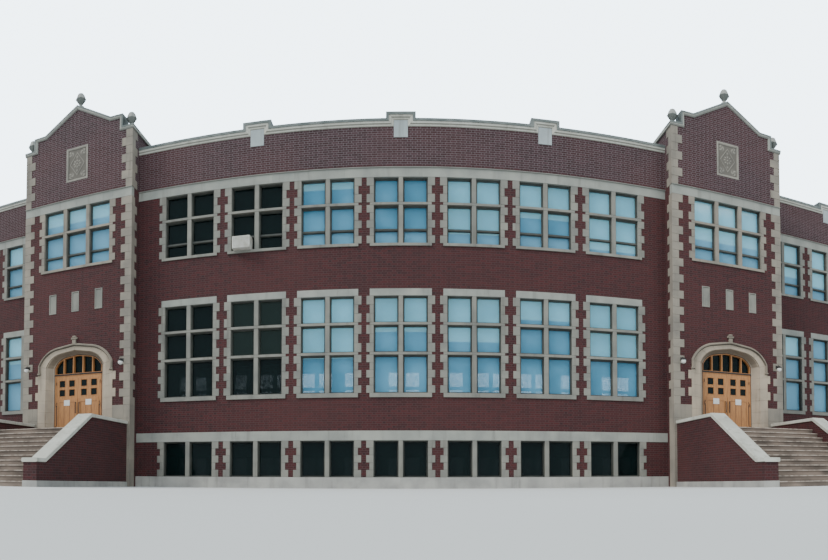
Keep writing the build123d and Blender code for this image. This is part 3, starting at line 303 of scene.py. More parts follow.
block_stone = stone_finish("block_stone", STONE_PALE, STONE_GREY, STONE_STAIN_AND_SHADE, True)
band_stone = stone_finish("band_stone", BAND_PALE, BAND_GREY, STONE_GREY, True)
tower_stone = stone_finish("tower_stone", TOWER_PALE, TOWER_GREY, STONE_STAIN_AND_SHADE, True)
plain_stone = stone_finish("plain_stone", STONE_PALE, STONE_GREY, STONE_STAIN_AND_SHADE, False)


def place_mesh(
    name, corners, faces, material, body="building", replaces=(), slot="dressed_stone", smooth=False
):
    """A new piece from numpy corners and four-sided faces; it rides and replaces. Its slot is not used."""
    mesh = bpy.data.meshes.new(name)
    mesh.from_pydata(np.asarray(corners).reshape(-1, 3), [], np.asarray(faces).reshape(-1, 4))
    mesh.polygons.foreach_set("use_smooth", [smooth] * len(mesh.polygons))
    mesh.materials.append(material)
    mesh.validate()
    piece = bpy.data.objects.new(name, mesh)
    bpy.context.scene.collection.objects.link(piece)
    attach(piece, body)
    if replaces:
        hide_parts(*replaces)
    return piece


def rings(panes, profile, side=-1, closed=True):
    """Frames round many panes at once.

    panes is (n, 4) of x0, x1, z0, z1. profile is a list of (inset, y): at each of its
    points the pane's outline, drawn in by inset, lies at depth y. Faces join one outline
    to the next, and the last to the first where closed is true, or else both are capped.
    """
    x0, x1, z0, z1 = np.asarray(panes, float).T[:, :, None]
    inset, depth = np.asarray(profile, float).T
    xs = np.stack([x0 + inset, x1 - inset, x1 - inset, x0 + inset], axis=-1)
    zs = np.stack([z0 + inset, z0 + inset, z1 - inset, z1 - inset], axis=-1)
    ys = np.broadcast_to(depth[None, :, None], xs.shape)
    corners = np.stack([xs, ys, zs], axis=-1)
    count, loops = corners.shape[:2]
    index = np.arange(count * loops * 4).reshape(count, loops, 4)
    after = np.roll(index, -1, axis=2)
    last = loops if closed else loops - 1
    nxt = np.roll(index, -1, axis=1)
    sides = np.stack([index, after, np.roll(nxt, -1, axis=2), nxt], axis=-1)[:, :last]
    faces = [sides.reshape(-1, 4)]
    if not closed:
        faces += [index[:, -1], index[:, 0, ::-1]]
    faces = np.concatenate(faces)
    return corners.reshape(-1, 3), faces if side < 0 else faces[:, ::-1]


def gather(*shapes):
    """Several (corners, faces) as one."""
    corners, faces, start = [], [], 0
    for points, quads in shapes:
        corners.append(points)
        faces.append(quads + start)
        start += len(points)
    return np.concatenate(corners), np.concatenate(faces)


def blocks(panes, face, depth, chamfer=CHAMFER, side=-1):
    """Stone blocks with chamfered front edges: rectangles from the face back by depth."""
    back = face - side * depth
    profile = [(0, back), (0, face - side * chamfer), (chamfer, face)]
    return rings(panes, profile, side, closed=False)


# The window surrounds: jamb stones long and short by turns, mullions, transoms, a sill and
# a lintel, all separate blocks set in the brick. Three rows: basement, first and second
# floor. A row is (sill, head, transoms).
BAY = 2.5
LIGHT = 0.845
MULLION = 0.15
TRANSOM = 0.09
LONG_STONE = 0.245
SHORT_STONE = 0.135
STONE_DEPTH = 0.2
LOWEST_PANE_STONES = 5
UPPER_PANE_STONES = 3
SILL_PROUD = 0.045
SILL_HEIGHT = 0.15
UPPER_SILL_HEIGHT = 0.10
LINTEL_HEIGHT = 0.24
LINTEL_STONE = 0.75
BASEMENT_ROW = (0.38, 1.61, ())
FIRST_ROW = (3.20, 6.475, (4.53, 5.535))
SECOND_ROW = (8.25, 10.50, (9.60,))
ALL_ROWS = (BASEMENT_ROW, FIRST_ROW, SECOND_ROW)
FIRST_FLOOR = 1.94
BAND_TOP = 10.85
BAND_STONE = 1.25
DRIP_HEIGHT = 0.05
WING_LENGTH = 5.7
MAIN_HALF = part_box("main_coping")[1][0]
TOWER_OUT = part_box("wing_front_walls")[1][0] - WING_LENGTH
TOWER_X = (MAIN_HALF + TOWER_OUT) / 2
TOWER_HALF = (TOWER_OUT - MAIN_HALF) / 2
TOWERS_X = (-TOWER_X, TOWER_X)
SIDES = (("left", -1), ("right", 1))
LENGTH_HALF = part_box("end_walls")[1][0]
MAIN_BAYS = (np.arange(7) - 3) * BAY
WING_BAYS = (TOWER_OUT + LENGTH_HALF) / 2 + np.array([-0.5, 0.5]) * BAY


def window_half(lights):
    """Half the width of a window of that many lights, with the mullions between them."""
    return (lights * LIGHT + (lights - 1) * MULLION) / 2


def pane_stops(row):
    """(foot, top) of each pane between the sill, the transoms and the head."""
    sill, head, transoms = row
    feet = [sill] + [t + TRANSOM / 2 for t in transoms]
    tops = [t - TRANSOM / 2 for t in transoms] + [head]
    return list(zip(feet, tops))


def jamb_stones(row):
    """(foot, top, reach) of the jamb's stones, from the sill up."""
    stones = []
    for foot, top in pane_stops(row):
        count = LOWEST_PANE_STONES if foot == row[0] else UPPER_PANE_STONES
        levels = np.linspace(foot, top, count + 1)
        for i in range(count):
            stones.append((levels[i], levels[i + 1], (LONG_STONE, SHORT_STONE)[i % 2]))
        if top != row[1]:
            stones.append((top, top + TRANSOM, SHORT_STONE))
    return stones


def surround(middles, lights, row):
    """The rectangles of jambs, mullions and transoms of one row of windows.

    The mullion's blocks stand between the lights and the transom's between the mullions.
    """
    half = window_half(lights)
    panes = []
    for foot, top, reach in jamb_stones(row):
        panes += [(m - half - reach, m - half, foot, top) for m in middles]
        panes += [(m + half, m + half + reach, foot, top) for m in middles]
    for i in range(1, lights):
        left = -half + i * LIGHT + (i - 1) * MULLION
        for foot, top in pane_stops(row):
            panes += [(m + left, m + left + MULLION, foot, top) for m in middles]
    for transom in row[2]:
        foot = transom - TRANSOM / 2
        for i in range(lights):
            left = -half + i * (LIGHT + MULLION)
            panes += [(m + left, m + left + LIGHT, foot, foot + TRANSOM) for m in middles]
        for i in range(1, lights):
            left = -half + i * LIGHT + (i - 1) * MULLION
            panes += [(m + left, m + left + MULLION, foot, foot + TRANSOM) for m in middles]
    return panes


def band(x0, x1, foot, top, length=BAND_STONE):
    """A course of equal stones from end to end."""
    count = max(1, round((x1 - x0) / length))
    ends = np.linspace(x0, x1, count + 1)
    return [(ends[i], ends[i + 1], foot, top) for i in range(count)]


def sills(middles, half, foot, top):
    """One sill stone to each window."""
    return [(m - half, m + half, foot, top) for m in middles]


def drip_course(x0, x1, face):
    """The pointed drip along the top of a lintel band: a wedge section run along X.

    A ladder of faces between the section's two sides closes each end.
    """
    section = [(0, 0.035), (STONE_PROUD, 0), (0.058, 0.022), (0.058, 0.034), (0.04, 0.044)]
    section += [(STONE_PROUD, DRIP_HEIGHT), (0, DRIP_HEIGHT), (0, DRIP_HEIGHT - 0.0075)]
    out, up = np.array(section).T
    low = BAND_TOP - DRIP_HEIGHT
    ring = np.stack([np.zeros_like(out), face - out, low + up], axis=-1)
    corners = np.stack([ring + [x0, 0, 0], ring + [x1, 0, 0]])
    index = np.arange(2 * len(out)).reshape(2, -1)
    sides = np.stack([index[0], index[1], np.roll(index[1], -1), np.roll(index[0], -1)], axis=-1)
    ladder = np.array([(0, 1, 6, 7), (1, 2, 5, 6), (2, 3, 4, 5)])
    ends = [index[0][ladder[:, ::-1]], index[1][ladder]]
    return corners.reshape(-1, 3), np.concatenate([sides[:, ::-1], *ends])


def front_stonework(name, face, ends, middles, lights, rows, nodes, stone=block_stone):
    """All the stonework of one stretch of front, in the rows that it has.

    The bands over the windows are a piece of their own, because they are paler.
    """
    reach = window_half(lights) + SHORT_STONE
    panes, bands, proud = [], [], []
    for row in rows:
        sill, head, _ = row
        panes += surround(middles, lights, row)
        if row is BASEMENT_ROW:
            bands += band(*ends, head, FIRST_FLOOR)
        if row is FIRST_ROW:
            proud += sills(middles, reach, sill - SILL_HEIGHT, sill)
            for m in middles:
                bands += band(m - reach, m + reach, head, head + LINTEL_HEIGHT, LINTEL_STONE)
        if row is SECOND_ROW:
            proud += sills(middles, reach, sill - UPPER_SILL_HEIGHT, sill)
            bands += band(*ends, head, BAND_TOP)
    outer = face - STONE_PROUD
    stones = [blocks(panes, outer, STONE_DEPTH + STONE_PROUD)]
    courses = [blocks(bands, outer, STONE_DEPTH + STONE_PROUD)]
    if proud:
        stones.append(blocks(proud, face - SILL_PROUD, STONE_DEPTH + SILL_PROUD))
    if SECOND_ROW in rows:
        courses.append(drip_course(*ends, face))
    place_mesh(f"{name}_bands", *gather(*courses), band_stone)
    place_mesh(name, *gather(*stones), stone, replaces=nodes)


for storey, row in zip(("basement", "first_floor", "second_floor"), ALL_ROWS):
    nodes = [f"{storey}_stonework"]
    ends = (-MAIN_HALF, MAIN_HALF)
    front_stonework(f"main_{storey}_stones", MAIN_FACE, ends, MAIN_BAYS, 2, [row], nodes)
for side_name, sign in SIDES:
    nodes = ["wing_stonework"] if sign < 0 else []
    ends = sorted((sign * TOWER_OUT, sign * LENGTH_HALF))
    name = f"{side_name}_wing_stones"
    front_stonework(name, WING_FACE, ends, sign * WING_BAYS, 2, ALL_ROWS, nodes)
    nodes = ["tower_window_stonework"] if sign < 0 else []
    middle = sign * TOWER_X
    ends = (middle - TOWER_HALF, middle + TOWER_HALF)
    name = f"{side_name}_tower_window_stones"
    front_stonework(name, TOWER_FACE, ends, [middle], 3, [SECOND_ROW], nodes, tower_stone)

# The sashes: slim dark grey-green metal frames, one round each pane, set back in the
# stone, with a low hopper under a rail in the second floor's lower panes.
SASH_WIDTH = 0.05
SASH_DEPTH = 0.09
SASH_SETBACK = 0.085
HOPPER_RAIL = 8.74
SASH_COLOUR = (0.040, 0.042, 0.036)
SASH_FADED = (0.062, 0.064, 0.055)


def patchy_metal(name, colour, second, gloss, patches, bump):
    """Metal in patches of two tones, with a fine unevenness.

    gloss is (roughness, metallic), patches (scale, detail, low, high), bump (scale, depth).
    """
    material, tree, shader = new_material(name, colour, *gloss)
    scale, detail, low, high = patches
    patch = stepped(tree, blotches(tree, scale, detail), low, high)
    paint(tree, shader, blend_colours(tree, patch, colour, second))
    roughen(tree, shader, blotches(tree, bump[0]), bump[1])
    return material


sash_metal = patchy_metal(
    "sash_metal", SASH_COLOUR, SASH_FADED, (0.45, 0.0), (3.0, 4.0, 0.35, 0.7), (120.0, 0.0005)
)


def light_panes(middles, lights, row):
    """The glazed rectangles of one row of windows, split at the hopper's rail."""
    half = window_half(lights)
    panes = []
    for foot, top in pane_stops(row):
        stops = [(foot, top)]
        if foot < HOPPER_RAIL < top:
            stops = [(foot, HOPPER_RAIL), (HOPPER_RAIL, top)]
        for low, high in stops:
            for i in range(lights):
                left = -half + i * (LIGHT + MULLION)
                panes += [(m + left, m + left + LIGHT, low, high) for m in middles]
    return panes


def sash_profile(front, back):
    """Outer edge, putty slope and rebate of a metal sash, from the back forward."""
    middle = (back + front) / 2
    return [(0, back), (0, front), (SASH_WIDTH * 0.6, front), (SASH_WIDTH, middle), (SASH_WIDTH, back)]


for name, face, middles, lights, rows in (
    ("main_sashes", MAIN_FACE, MAIN_BAYS, 2, ALL_ROWS),
    ("left_wing_sashes", WING_FACE, -WING_BAYS, 2, ALL_ROWS),
    ("right_wing_sashes", WING_FACE, WING_BAYS, 2, ALL_ROWS),
    ("tower_sashes", TOWER_FACE, TOWERS_X, 3, [SECOND_ROW]),
):
    panes = [pane for row in rows for pane in light_panes(middles, lights, row)]
    profile = sash_profile(face + SASH_SETBACK, face + SASH_SETBACK + SASH_DEPTH)
    place_mesh(name, *rings(panes, profile), sash_metal, slot="flashing_metal")

# The glass is faintly blue, and its colour here is a painted reflection of the sky, in wavy
# patches and paler beyond the main front and in the hoppers; the rooms behind it are dim. Painted
# shade darkens it in the basement, over the doors and in the two bays beside the left tower.
# Those bays are given as the stretches over which the shade begins and ends.
# GLASS_COLOUR, GLASS_DEEP and GLASS_PALE are a painted sky reflection; GLASS_SHADED is painted shade.
GLASS_COLOUR = (0.17, 0.49, 0.72)
GLASS_DEEP = (0.11, 0.38, 0.58)
GLASS_PALE = (0.24, 0.56, 0.78)
GLASS_SHADED = (0.004, 0.011, 0.011)
SHADED_BELOW = (1.9, 2.1)
SHADED_FROM = (-10.1, -10.0)
SHADED_TO = (-3.8, -3.5)
FANLIGHTS_BELOW = 7.0
HOPPER_PALER = 0.8
SHADED_SPECULAR, SPECULAR_GAIN = 0.15, 0.35
SHADED_ALPHA, ALPHA_GAIN = 0.85, -0.27

window_glass, tree, shader = new_material("window_glass", GLASS_COLOUR, 0.04)
shader.inputs["IOR"].default_value = 1.5
where = axes_of(tree, "TexCoord", "Object")
sideways = calculate(tree, "ABSOLUTE", where[0])
wavy = blotches(tree, 0.45, 3.0, (1.0, 1.0, 1.6))
painted_sky_reflection = blend_colours(tree, stepped(tree, wavy, 0.35, 0.65), GLASS_COLOUR, GLASS_DEEP)
past_main = calculate(tree, "GREATER_THAN", sideways, MAIN_HALF)
hopper_foot, hopper_half = SECOND_ROW[0], (HOPPER_RAIL - SECOND_ROW[0]) / 2
in_hopper = calculate(tree, "COMPARE", where[2], hopper_foot + hopper_half, hopper_half)
in_hopper = calculate(tree, "MULTIPLY", in_hopper, HOPPER_PALER)
paler = calculate(tree, "MAXIMUM", past_main, in_hopper)
painted_sky_reflection = blend_colours(tree, paler, painted_sky_reflection, GLASS_PALE)
above_basement = stepped(tree, where[2], *SHADED_BELOW)
past_shade = stepped(tree, where[0], *SHADED_TO)
before_shade = calculate(tree, "SUBTRACT", 1.0, stepped(tree, where[0], *SHADED_FROM))
lit = calculate(tree, "MAXIMUM", past_shade, before_shade)
in_tower = calculate(tree, "COMPARE", sideways, TOWER_X, TOWER_HALF)
low_down = calculate(tree, "LESS_THAN", where[2], FANLIGHTS_BELOW)
lit = calculate(tree, "SUBTRACT", lit, calculate(tree, "MULTIPLY", in_tower, low_down))
at_rear = calculate(tree, "GREATER_THAN", where[1], 0.0)
shown = calculate(tree, "MULTIPLY", above_basement, calculate(tree, "MAXIMUM", lit, at_rear))
# Painted sky reflection where shown is 1, painted shade where it is 0.
paint(tree, shader, blend_colours(tree, shown, GLASS_SHADED, painted_sky_reflection))
specular = calculate(tree, "MULTIPLY_ADD", shown, SPECULAR_GAIN, SHADED_SPECULAR)
tree.links.new(specular, shader.inputs["Specular IOR Level"])
alpha = calculate(tree, "MULTIPLY_ADD", shown, ALPHA_GAIN, SHADED_ALPHA)
tree.links.new(alpha, shader.inputs["Alpha"])
roughen(tree, shader, blotches(tree, 1.2, 2.0), 0.0008)
dress(["main_glazing", "wing_glazing", "tower_glazing", "rear_glazing"], window_glass)

# Roller blinds hang behind the glass of many windows, pale teal cloth drawn down by
# different amounts, with a batten along the foot. The cloth glows a little, a painted light
# that stands in for daylight on it. A drop is the share of the window's height that the blind covers.
BLIND_SETBACK = 0.30
BLIND_LAP = 0.05
BLIND_COLOUR = (0.66, 1.0, 0.84)
BLIND_WEFT = (0.60, 0.92, 0.80)
BLIND_PAINTED_LIGHT = 0.66
MAIN_SECOND_DROPS = (0.0, 0.0, 0.10, 0.0, 0.80, 0.50, 0.9)
MAIN_FIRST_DROPS = (0.0, 0.55, 0.62, 0.35, 0.45, 0.2, 0.6)

blind_cloth, tree, shader = new_material("blind_cloth", BLIND_COLOUR, 0.8)
weave = blotches(tree, 300.0, 2.0)
paint(tree, shader, blend_colours(tree, weave, BLIND_COLOUR, BLIND_WEFT))
# Painted light: the cloth glows in its own colour, though it is no lamp.
shader.inputs["Emission Color"].default_value = (*BLIND_COLOUR, 1)
shader.inputs["Emission Strength"].default_value = BLIND_PAINTED_LIGHT
roughen(tree, shader, weave, 0.0006)

near, far = WING_BAYS
for name, face, drops, lights, row in (
    ("main_second_floor_blinds", MAIN_FACE, zip(MAIN_BAYS, MAIN_SECOND_DROPS), 2, SECOND_ROW),
    ("main_first_floor_blinds", MAIN_FACE, zip(MAIN_BAYS, MAIN_FIRST_DROPS), 2, FIRST_ROW),
    ("tower_blinds", TOWER_FACE, zip(TOWERS_X, (0.2, 0.62)), 3, SECOND_ROW),
    ("wing_second_floor_blinds", WING_FACE, [(near, 0.6), (far, 0.7), (-near, 0.4)], 2, SECOND_ROW),
    ("wing_first_floor_blinds", WING_FACE, [(near, 0.3), (-near, 0.35)], 2, FIRST_ROW),
):
    sill, head, _ = row
    panes = []
    for middle, drop in [pair for pair in drops if pair[1] > 0]:
        for i in range(lights):
            left = middle - window_half(lights) + i * (LIGHT + MULLION)
            x0, x1 = left - BLIND_LAP, left + LIGHT + BLIND_LAP
            panes.append((x0, x1, head - drop * (head - sill), head + BLIND_LAP))
    back = face + BLIND_SETBACK
    cloth = rings(panes, [(0, back + 0.003), (0, back)], closed=False)
    foot = [(x0, x1, z0 - 0.01, z0 + 0.025) for x0, x1, z0, _ in panes]
    batten = rings(foot, [(0, back + 0.012), (0, back - 0.006), (0.006, back - 0.012)], closed=False)
    place_mesh(name, *gather(cloth, batten), blind_cloth, slot="globe_glass")

# The towers' corner stones: large blocks, long on the front and on the side by turns, from
# the smooth stone foot up to the gable, and that foot, in courses of plain blocks.
CORNER_LONG = 0.42
CORNER_SHORT = 0.25
CORNER_COURSE = 0.29
FOOT_TOP = 2.94
SHELF_TOP = 12.96
SURROUND_HALF = 1.62
FOOT_COURSE = 0.49
FOOT_JOINTS = (0.35, 0.65)

for side_name, sign in SIDES:
    middle = sign * TOWER_X
    long_front, long_side = [], []
    for low, high in ((FOOT_TOP, SECOND_ROW[1]), (BAND_TOP, SHELF_TOP)):
        levels = np.linspace(low, high, round((high - low) / CORNER_COURSE) + 1)
        for i in range(len(levels) - 1):
            reach = (CORNER_SHORT, CORNER_LONG)[i % 2]
            for end in (-1, 1):
                corner = middle + end * (TOWER_HALF + STONE_PROUD)
                x0, x1 = sorted((corner, corner - end * (reach + STONE_PROUD)))
                (long_side, long_front)[i % 2].append((x0, x1, levels[i], levels[i + 1]))
    outer = TOWER_FACE - STONE_PROUD
    shapes = [
        blocks(long_front, outer, CORNER_SHORT + STONE_PROUD),
        blocks(long_side, outer, CORNER_LONG + STONE_PROUD),
    ]
    nodes = ["tower_corner_stones"] if sign < 0 else []
    place_mesh(f"{side_name}_tower_corner_stones", *gather(*shapes), tower_stone, replaces=nodes)
    panes = []
    levels = np.linspace(0, FOOT_TOP, round(FOOT_TOP / FOOT_COURSE) + 1)
    for i in range(len(levels) - 1):
        for end in (-1, 1):
            x0, x1 = sorted((middle + end * SURROUND_HALF, middle + end * (TOWER_HALF + STONE_PROUD)))
            split = FOOT_JOINTS[i % 2] * (x1 - x0) + x0
            panes += [(x0, split, levels[i], levels[i + 1]), (split, x1, levels[i], levels[i + 1])]
    nodes = ["tower_base_stones"] if sign < 0 else []
    shape = blocks(panes, outer, CORNER_LONG + STONE_PROUD)
    place_mesh(f"{side_name}_tower_base_stones", *shape, tower_stone, replaces=nodes)


def outward(corners, faces):
    """The same closed shape with its faces turned outwards, by the sign of its volume."""
    a, b, c, d = (corners[faces[:, i]] - corners.mean(axis=0) for i in range(4))
    volume = (np.cross(a, b) * c).sum() + (np.cross(a, c) * d).sum()
    return corners, faces if volume > 0 else faces[:, ::-1]


def skin(sections):
    """A closed shell through (n, m, 3) sections, each a ring of m points, capped at both ends.

    Faces join each ring to the next; a cap is a ladder between the ring's two sides.
    """
    count, points = sections.shape[:2]
    index = np.arange(count * points).reshape(count, points)
    near, far = index[:-1], index[1:]
    sides = np.stack([near, np.roll(near, -1, 1), np.roll(far, -1, 1), far], axis=-1).reshape(-1, 4)
    rung = np.arange(points // 2 - 1)
    ladder = np.stack([rung, rung + 1, points - 2 - rung, points - 1 - rung], axis=-1)
    caps = [index[0][ladder[:, ::-1]], index[-1][ladder]]
    return outward(sections.reshape(-1, 3), np.concatenate([sides, *caps]))


def mitred(path, profile, plane):
    """(n, m, 3) sections of a profile carried along a path, mitred at its corners.

    The profile is (m, 2): depth across the path's plane, and height off the path to its
    left. At a corner the height runs along the sum of the two normals over one plus their
    product, so that each run keeps its height.
    """
    path = np.asarray(path, float)
    runs = np.diff(path, axis=0)
    runs /= np.linalg.norm(runs, axis=1)[:, None]
    normals = np.stack([-runs[:, 1], runs[:, 0]], axis=1)
    before = np.vstack([normals[:1], normals])
    after = np.vstack([normals, normals[-1:]])
    mitre = (before + after) / (1 + (before * after).sum(axis=1))[:, None]
    depth, height = np.asarray(profile, float).T
    flat = path[:, None, :] + mitre[:, None, :] * height[None, :, None]
    across = np.broadcast_to(depth[None, :], flat.shape[:2])
    order = {"xz": (flat[..., 0], across, flat[..., 1]), "yz": (across, flat[..., 0], flat[..., 1])}
    return np.stack(order[plane], axis=-1)


def divided(path, length):
    """The path with extra points, so that no run is longer than about that length."""
    points = [path[0]]
    for start, end in zip(path, path[1:]):
        count = max(1, round(math.dist(start, end) / length))
        steps = np.linspace(0, 1, count + 1)[1:, None]
        points += list(np.asarray(start) + steps * (np.asarray(end) - np.asarray(start)))
    return np.array(points)


def slabs(path, profile, plane, gap=0.004):
    """One closed slab for each run of the path, with a narrow joint between neighbours."""
    sections = mitred(path, profile, plane)
    shapes = []
    for near, far in zip(sections, sections[1:]):
        step = gap / 2 / np.linalg.norm(far - near, axis=1).max()
        shapes.append(skin(np.stack([near + (far - near) * step, far - (far - near) * step])))
    return gather(*shapes)


# The copings: moulded cast stone along each parapet's top, in lengths with open joints,
# stepped up over the grey merlon blocks, under a folded sheet-metal flashing.
WALL = 0.45
PARAPET_TOP = 12.22
COPING_HEIGHT = 0.19
FLASHING_HEIGHT = 0.08
COPING_OUT = 0.06
FLASHING_OUT = 0.085
MERLON_RISE = 0.22
MERLON_BLOCK = 0.48
MERLON_DROP = 0.37
COPING_LENGTH = 1.2
COPING_PALE = (0.60, 0.60, 0.54)
COPING_GREY = (0.45, 0.44, 0.38)
COPING_STAIN_AND_SHADE = (0.22, 0.21, 0.18)
MERLON_PALE = (0.40, 0.45, 0.46)
MERLON_GREY = (0.32, 0.36, 0.37)
FLASHING_COLOUR = (0.11, 0.13, 0.125)
FLASHING_DULL = (0.19, 0.21, 0.20)

merlon_stone = stone_finish("merlon_stone", MERLON_PALE, MERLON_GREY, STONE_GREY, False)
coping_stone = stone_finish("coping_stone", COPING_PALE, COPING_GREY, COPING_STAIN_AND_SHADE, True)
flashing_metal = patchy_metal(
    "flashing_metal", FLASHING_COLOUR, FLASHING_DULL, (0.5, 0.3), (2.5, 5.0, 0.3, 0.7), (8.0, 0.002)
)


def coping_profile(front, back):
    """From the wall's front face out over a hollow moulding, up, and down again behind."""
    half = [(0, 0), (-0.022, 0.02), (-0.030, 0.065), (-COPING_OUT, 0.10), (-COPING_OUT, COPING_HEIGHT)]
    rear = [(back - y, h) for y, h in reversed(half)]
    return [(front + y, h) for y, h in half] + rear


def flashing_profile(front, back):
    """A cap with turned-down drips at both edges and a slight fall to the back."""
    low, top = COPING_HEIGHT - 0.02, COPING_HEIGHT + FLASHING_HEIGHT
    half = [(-COPING_OUT - 0.002, COPING_HEIGHT), (-COPING_OUT - 0.002, low), (-FLASHING_OUT, low)]
    half += [(-FLASHING_OUT, top - 0.015), (-FLASHING_OUT + 0.02, top)]
    rear = [(back - y, h) for y, h in reversed(half)]
    return [(front + y, h) for y, h in half] + rear


def parapet_path(x0, x1, merlons):
    """Along the parapet's top, up and over each merlon block and down again."""
    half = MERLON_BLOCK / 2
    path = [(x1, PARAPET_TOP)]
    for m in sorted(merlons, reverse=True):
        for x, z in ((m + half, 0), (m + half, MERLON_RISE), (m - half, MERLON_RISE), (m - half, 0)):
            path.append((x, PARAPET_TOP + z))
    return (path + [(x0, PARAPET_TOP)])[::-1]


def front_coping(name, face, x0, x1, merlons, nodes):
    """Coping stones and their merlon blocks on one stretch of parapet, with the flashing."""
    path = parapet_path(x0, x1, merlons)
    stones = slabs(divided(path, COPING_LENGTH), coping_profile(face, face + WALL), "xz")
    half = MERLON_BLOCK / 2
    low, top = PARAPET_TOP - MERLON_DROP, PARAPET_TOP + MERLON_RISE
    panes = [(m - half, m + half, low, top) for m in merlons]
    block = blocks(panes, face - STONE_PROUD, WALL + 2 * STONE_PROUD, 0.01)
    place_mesh(name, *stones, coping_stone, replaces=nodes)
    place_mesh(f"{name}_merlon_blocks", *block, merlon_stone)
    cap = skin(mitred(path, flashing_profile(face, face + WALL), "xz"))
    place_mesh(f"{name}_flashing", *cap, flashing_metal, slot="flashing_metal")


for name, face, x0, x1, merlons, nodes in (
    ("main_parapet_coping", MAIN_FACE, -MAIN_HALF, MAIN_HALF, [-2 * BAY, 0, 2 * BAY],
     ["main_coping", "parapet_flashings"]),
    ("left_wing_coping", WING_FACE, -LENGTH_HALF, -TOWER_OUT, [-WING_BAYS[1]], ["wing_copings"]),
    ("right_wing_coping", WING_FACE, TOWER_OUT, LENGTH_HALF, [WING_BAYS[1]], []),
):
    front_coping(name, face, x0, x1, merlons, nodes)

# The ends and the rear have the same coping and flashing, without merlons.
END_FROM = WING_FACE + WALL + FLASHING_OUT
END_TO = REAR_FACE - WALL - FLASHING_OUT
stones, caps = [], []
for sign in (-1, 1):
    inner, outer = sign * (LENGTH_HALF - WALL), sign * (LENGTH_HALF - COPING_OUT)
    x0, x1 = sorted((inner, outer))
    path = divided([(END_FROM, PARAPET_TOP), (END_TO, PARAPET_TOP)], COPING_LENGTH)
    stones.append(slabs(path, coping_profile(x0, x1), "yz"))
    x0, x1 = sorted((inner, sign * (LENGTH_HALF - FLASHING_OUT)))
    caps.append(skin(mitred(path, flashing_profile(x0, x1), "yz")))
path = [(-LENGTH_HALF, PARAPET_TOP), (LENGTH_HALF, PARAPET_TOP)]
rear_top = (REAR_FACE - WALL, REAR_FACE)
stones.append(slabs(divided(path, COPING_LENGTH), coping_profile(*rear_top), "xz"))
caps.append(skin(mitred(path, flashing_profile(*rear_top), "xz")))
place_mesh("end_and_rear_coping", *gather(*stones), coping_stone, replaces=["end_copings", "rear_coping"])
place_mesh("end_and_rear_flashing", *gather(*caps), flashing_metal, slot="flashing_metal")

# The gables' copings: cast stone over a small drip, up the kneelers and the slopes to the
# point, capped with the same metal, and level copings along each tower's sides and rear.
KNEELER_TOP = 13.42
KNEELER_IN = 1.40
KNEELER_OUT = 1.80
GABLE_TOP = 14.21
GABLE_COPING = 0.14
GABLE_OUT = 0.06
GABLE_STONE = 0.9
TOWER_REAR = TOWER_FACE + 5.0
CAP_SHEET = 0.035


def level_section(low, high):
    """A plain square coping section, overhanging a wall from low to high on both sides."""
    low, high = low - GABLE_OUT, high + GABLE_OUT
    return [(low, 0), (low, GABLE_COPING), (high, GABLE_COPING), (high, 0)]


stones, caps = [], []
for middle in TOWERS_X:
    right = [(0, GABLE_TOP), (KNEELER_IN, KNEELER_TOP), (KNEELER_OUT, KNEELER_TOP)]
    right += [(KNEELER_OUT, SHELF_TOP), (TOWER_HALF + GABLE_OUT, SHELF_TOP)]
    path = [(middle - x, z) for x, z in reversed(right)] + [(middle + x, z) for x, z in right[1:]]
    front, back = TOWER_FACE, TOWER_FACE + WALL
    height, nose = GABLE_COPING - CAP_SHEET, front - GABLE_OUT
    stone = [(front, 0), (front - 0.03, 0.012), (nose + 0.01, 0.05), (nose + 0.01, height)]
    stone += [(back, height), (back, 0.05), (back, 0.012), (back, 0)]
    sheet = [(nose + 0.01, height), (nose, height - 0.02), (nose, GABLE_COPING)]
    sheet += [(back, GABLE_COPING), (back, height - 0.02), (back, height)]
    stones.append(slabs(divided(path, GABLE_STONE), stone, "xz"))
    caps.append(skin(mitred(path, sheet, "xz")))
    path = divided([(TOWER_FACE + WALL, SHELF_TOP), (TOWER_REAR + GABLE_OUT, SHELF_TOP)], GABLE_STONE)
    for side in (-1, 1):
        wall = sorted((middle + side * TOWER_HALF, middle + side * (TOWER_HALF - WALL)))
        stones.append(slabs(path, level_section(*wall), "yz"))
    inner = TOWER_HALF - WALL - GABLE_OUT
    path = divided([(middle - inner, SHELF_TOP), (middle + inner, SHELF_TOP)], GABLE_STONE)
    stones.append(slabs(path, level_section(TOWER_REAR - WALL, TOWER_REAR), "xz"))
place_mesh("gable_coping_stones", *gather(*stones), band_stone, replaces=["gable_copings"])
place_mesh("gable_coping_caps", *gather(*caps), flashing_metal, slot="flashing_metal")

# The finials: eight-sided acorns of grey stone on waisted necks, one on each gable's point
# and one over each corner, cut in flats all the way up.
FINIAL_FLATS = 8
FINIAL_INSET = 0.15
FINIAL_PALE = (0.42, 0.425, 0.39)
FINIAL_GREY = (0.27, 0.28, 0.26)
FINIAL_STAIN_AND_SHADE = (0.12, 0.13, 0.12)


def turned(profile, centre, sides):
    """A (radius, height) profile turned about an upright line in that many flats."""
    radius, height = np.asarray(profile, float).T
    angle = (np.arange(sides) + 0.5) * 2 * math.pi / sides
    xs = centre[0] + radius[:, None] * np.cos(angle)
    ys = centre[1] + radius[:, None] * np.sin(angle)
    zs = np.broadcast_to(centre[2] + height[:, None], xs.shape)
    return skin(np.stack([xs, ys, zs], axis=-1))


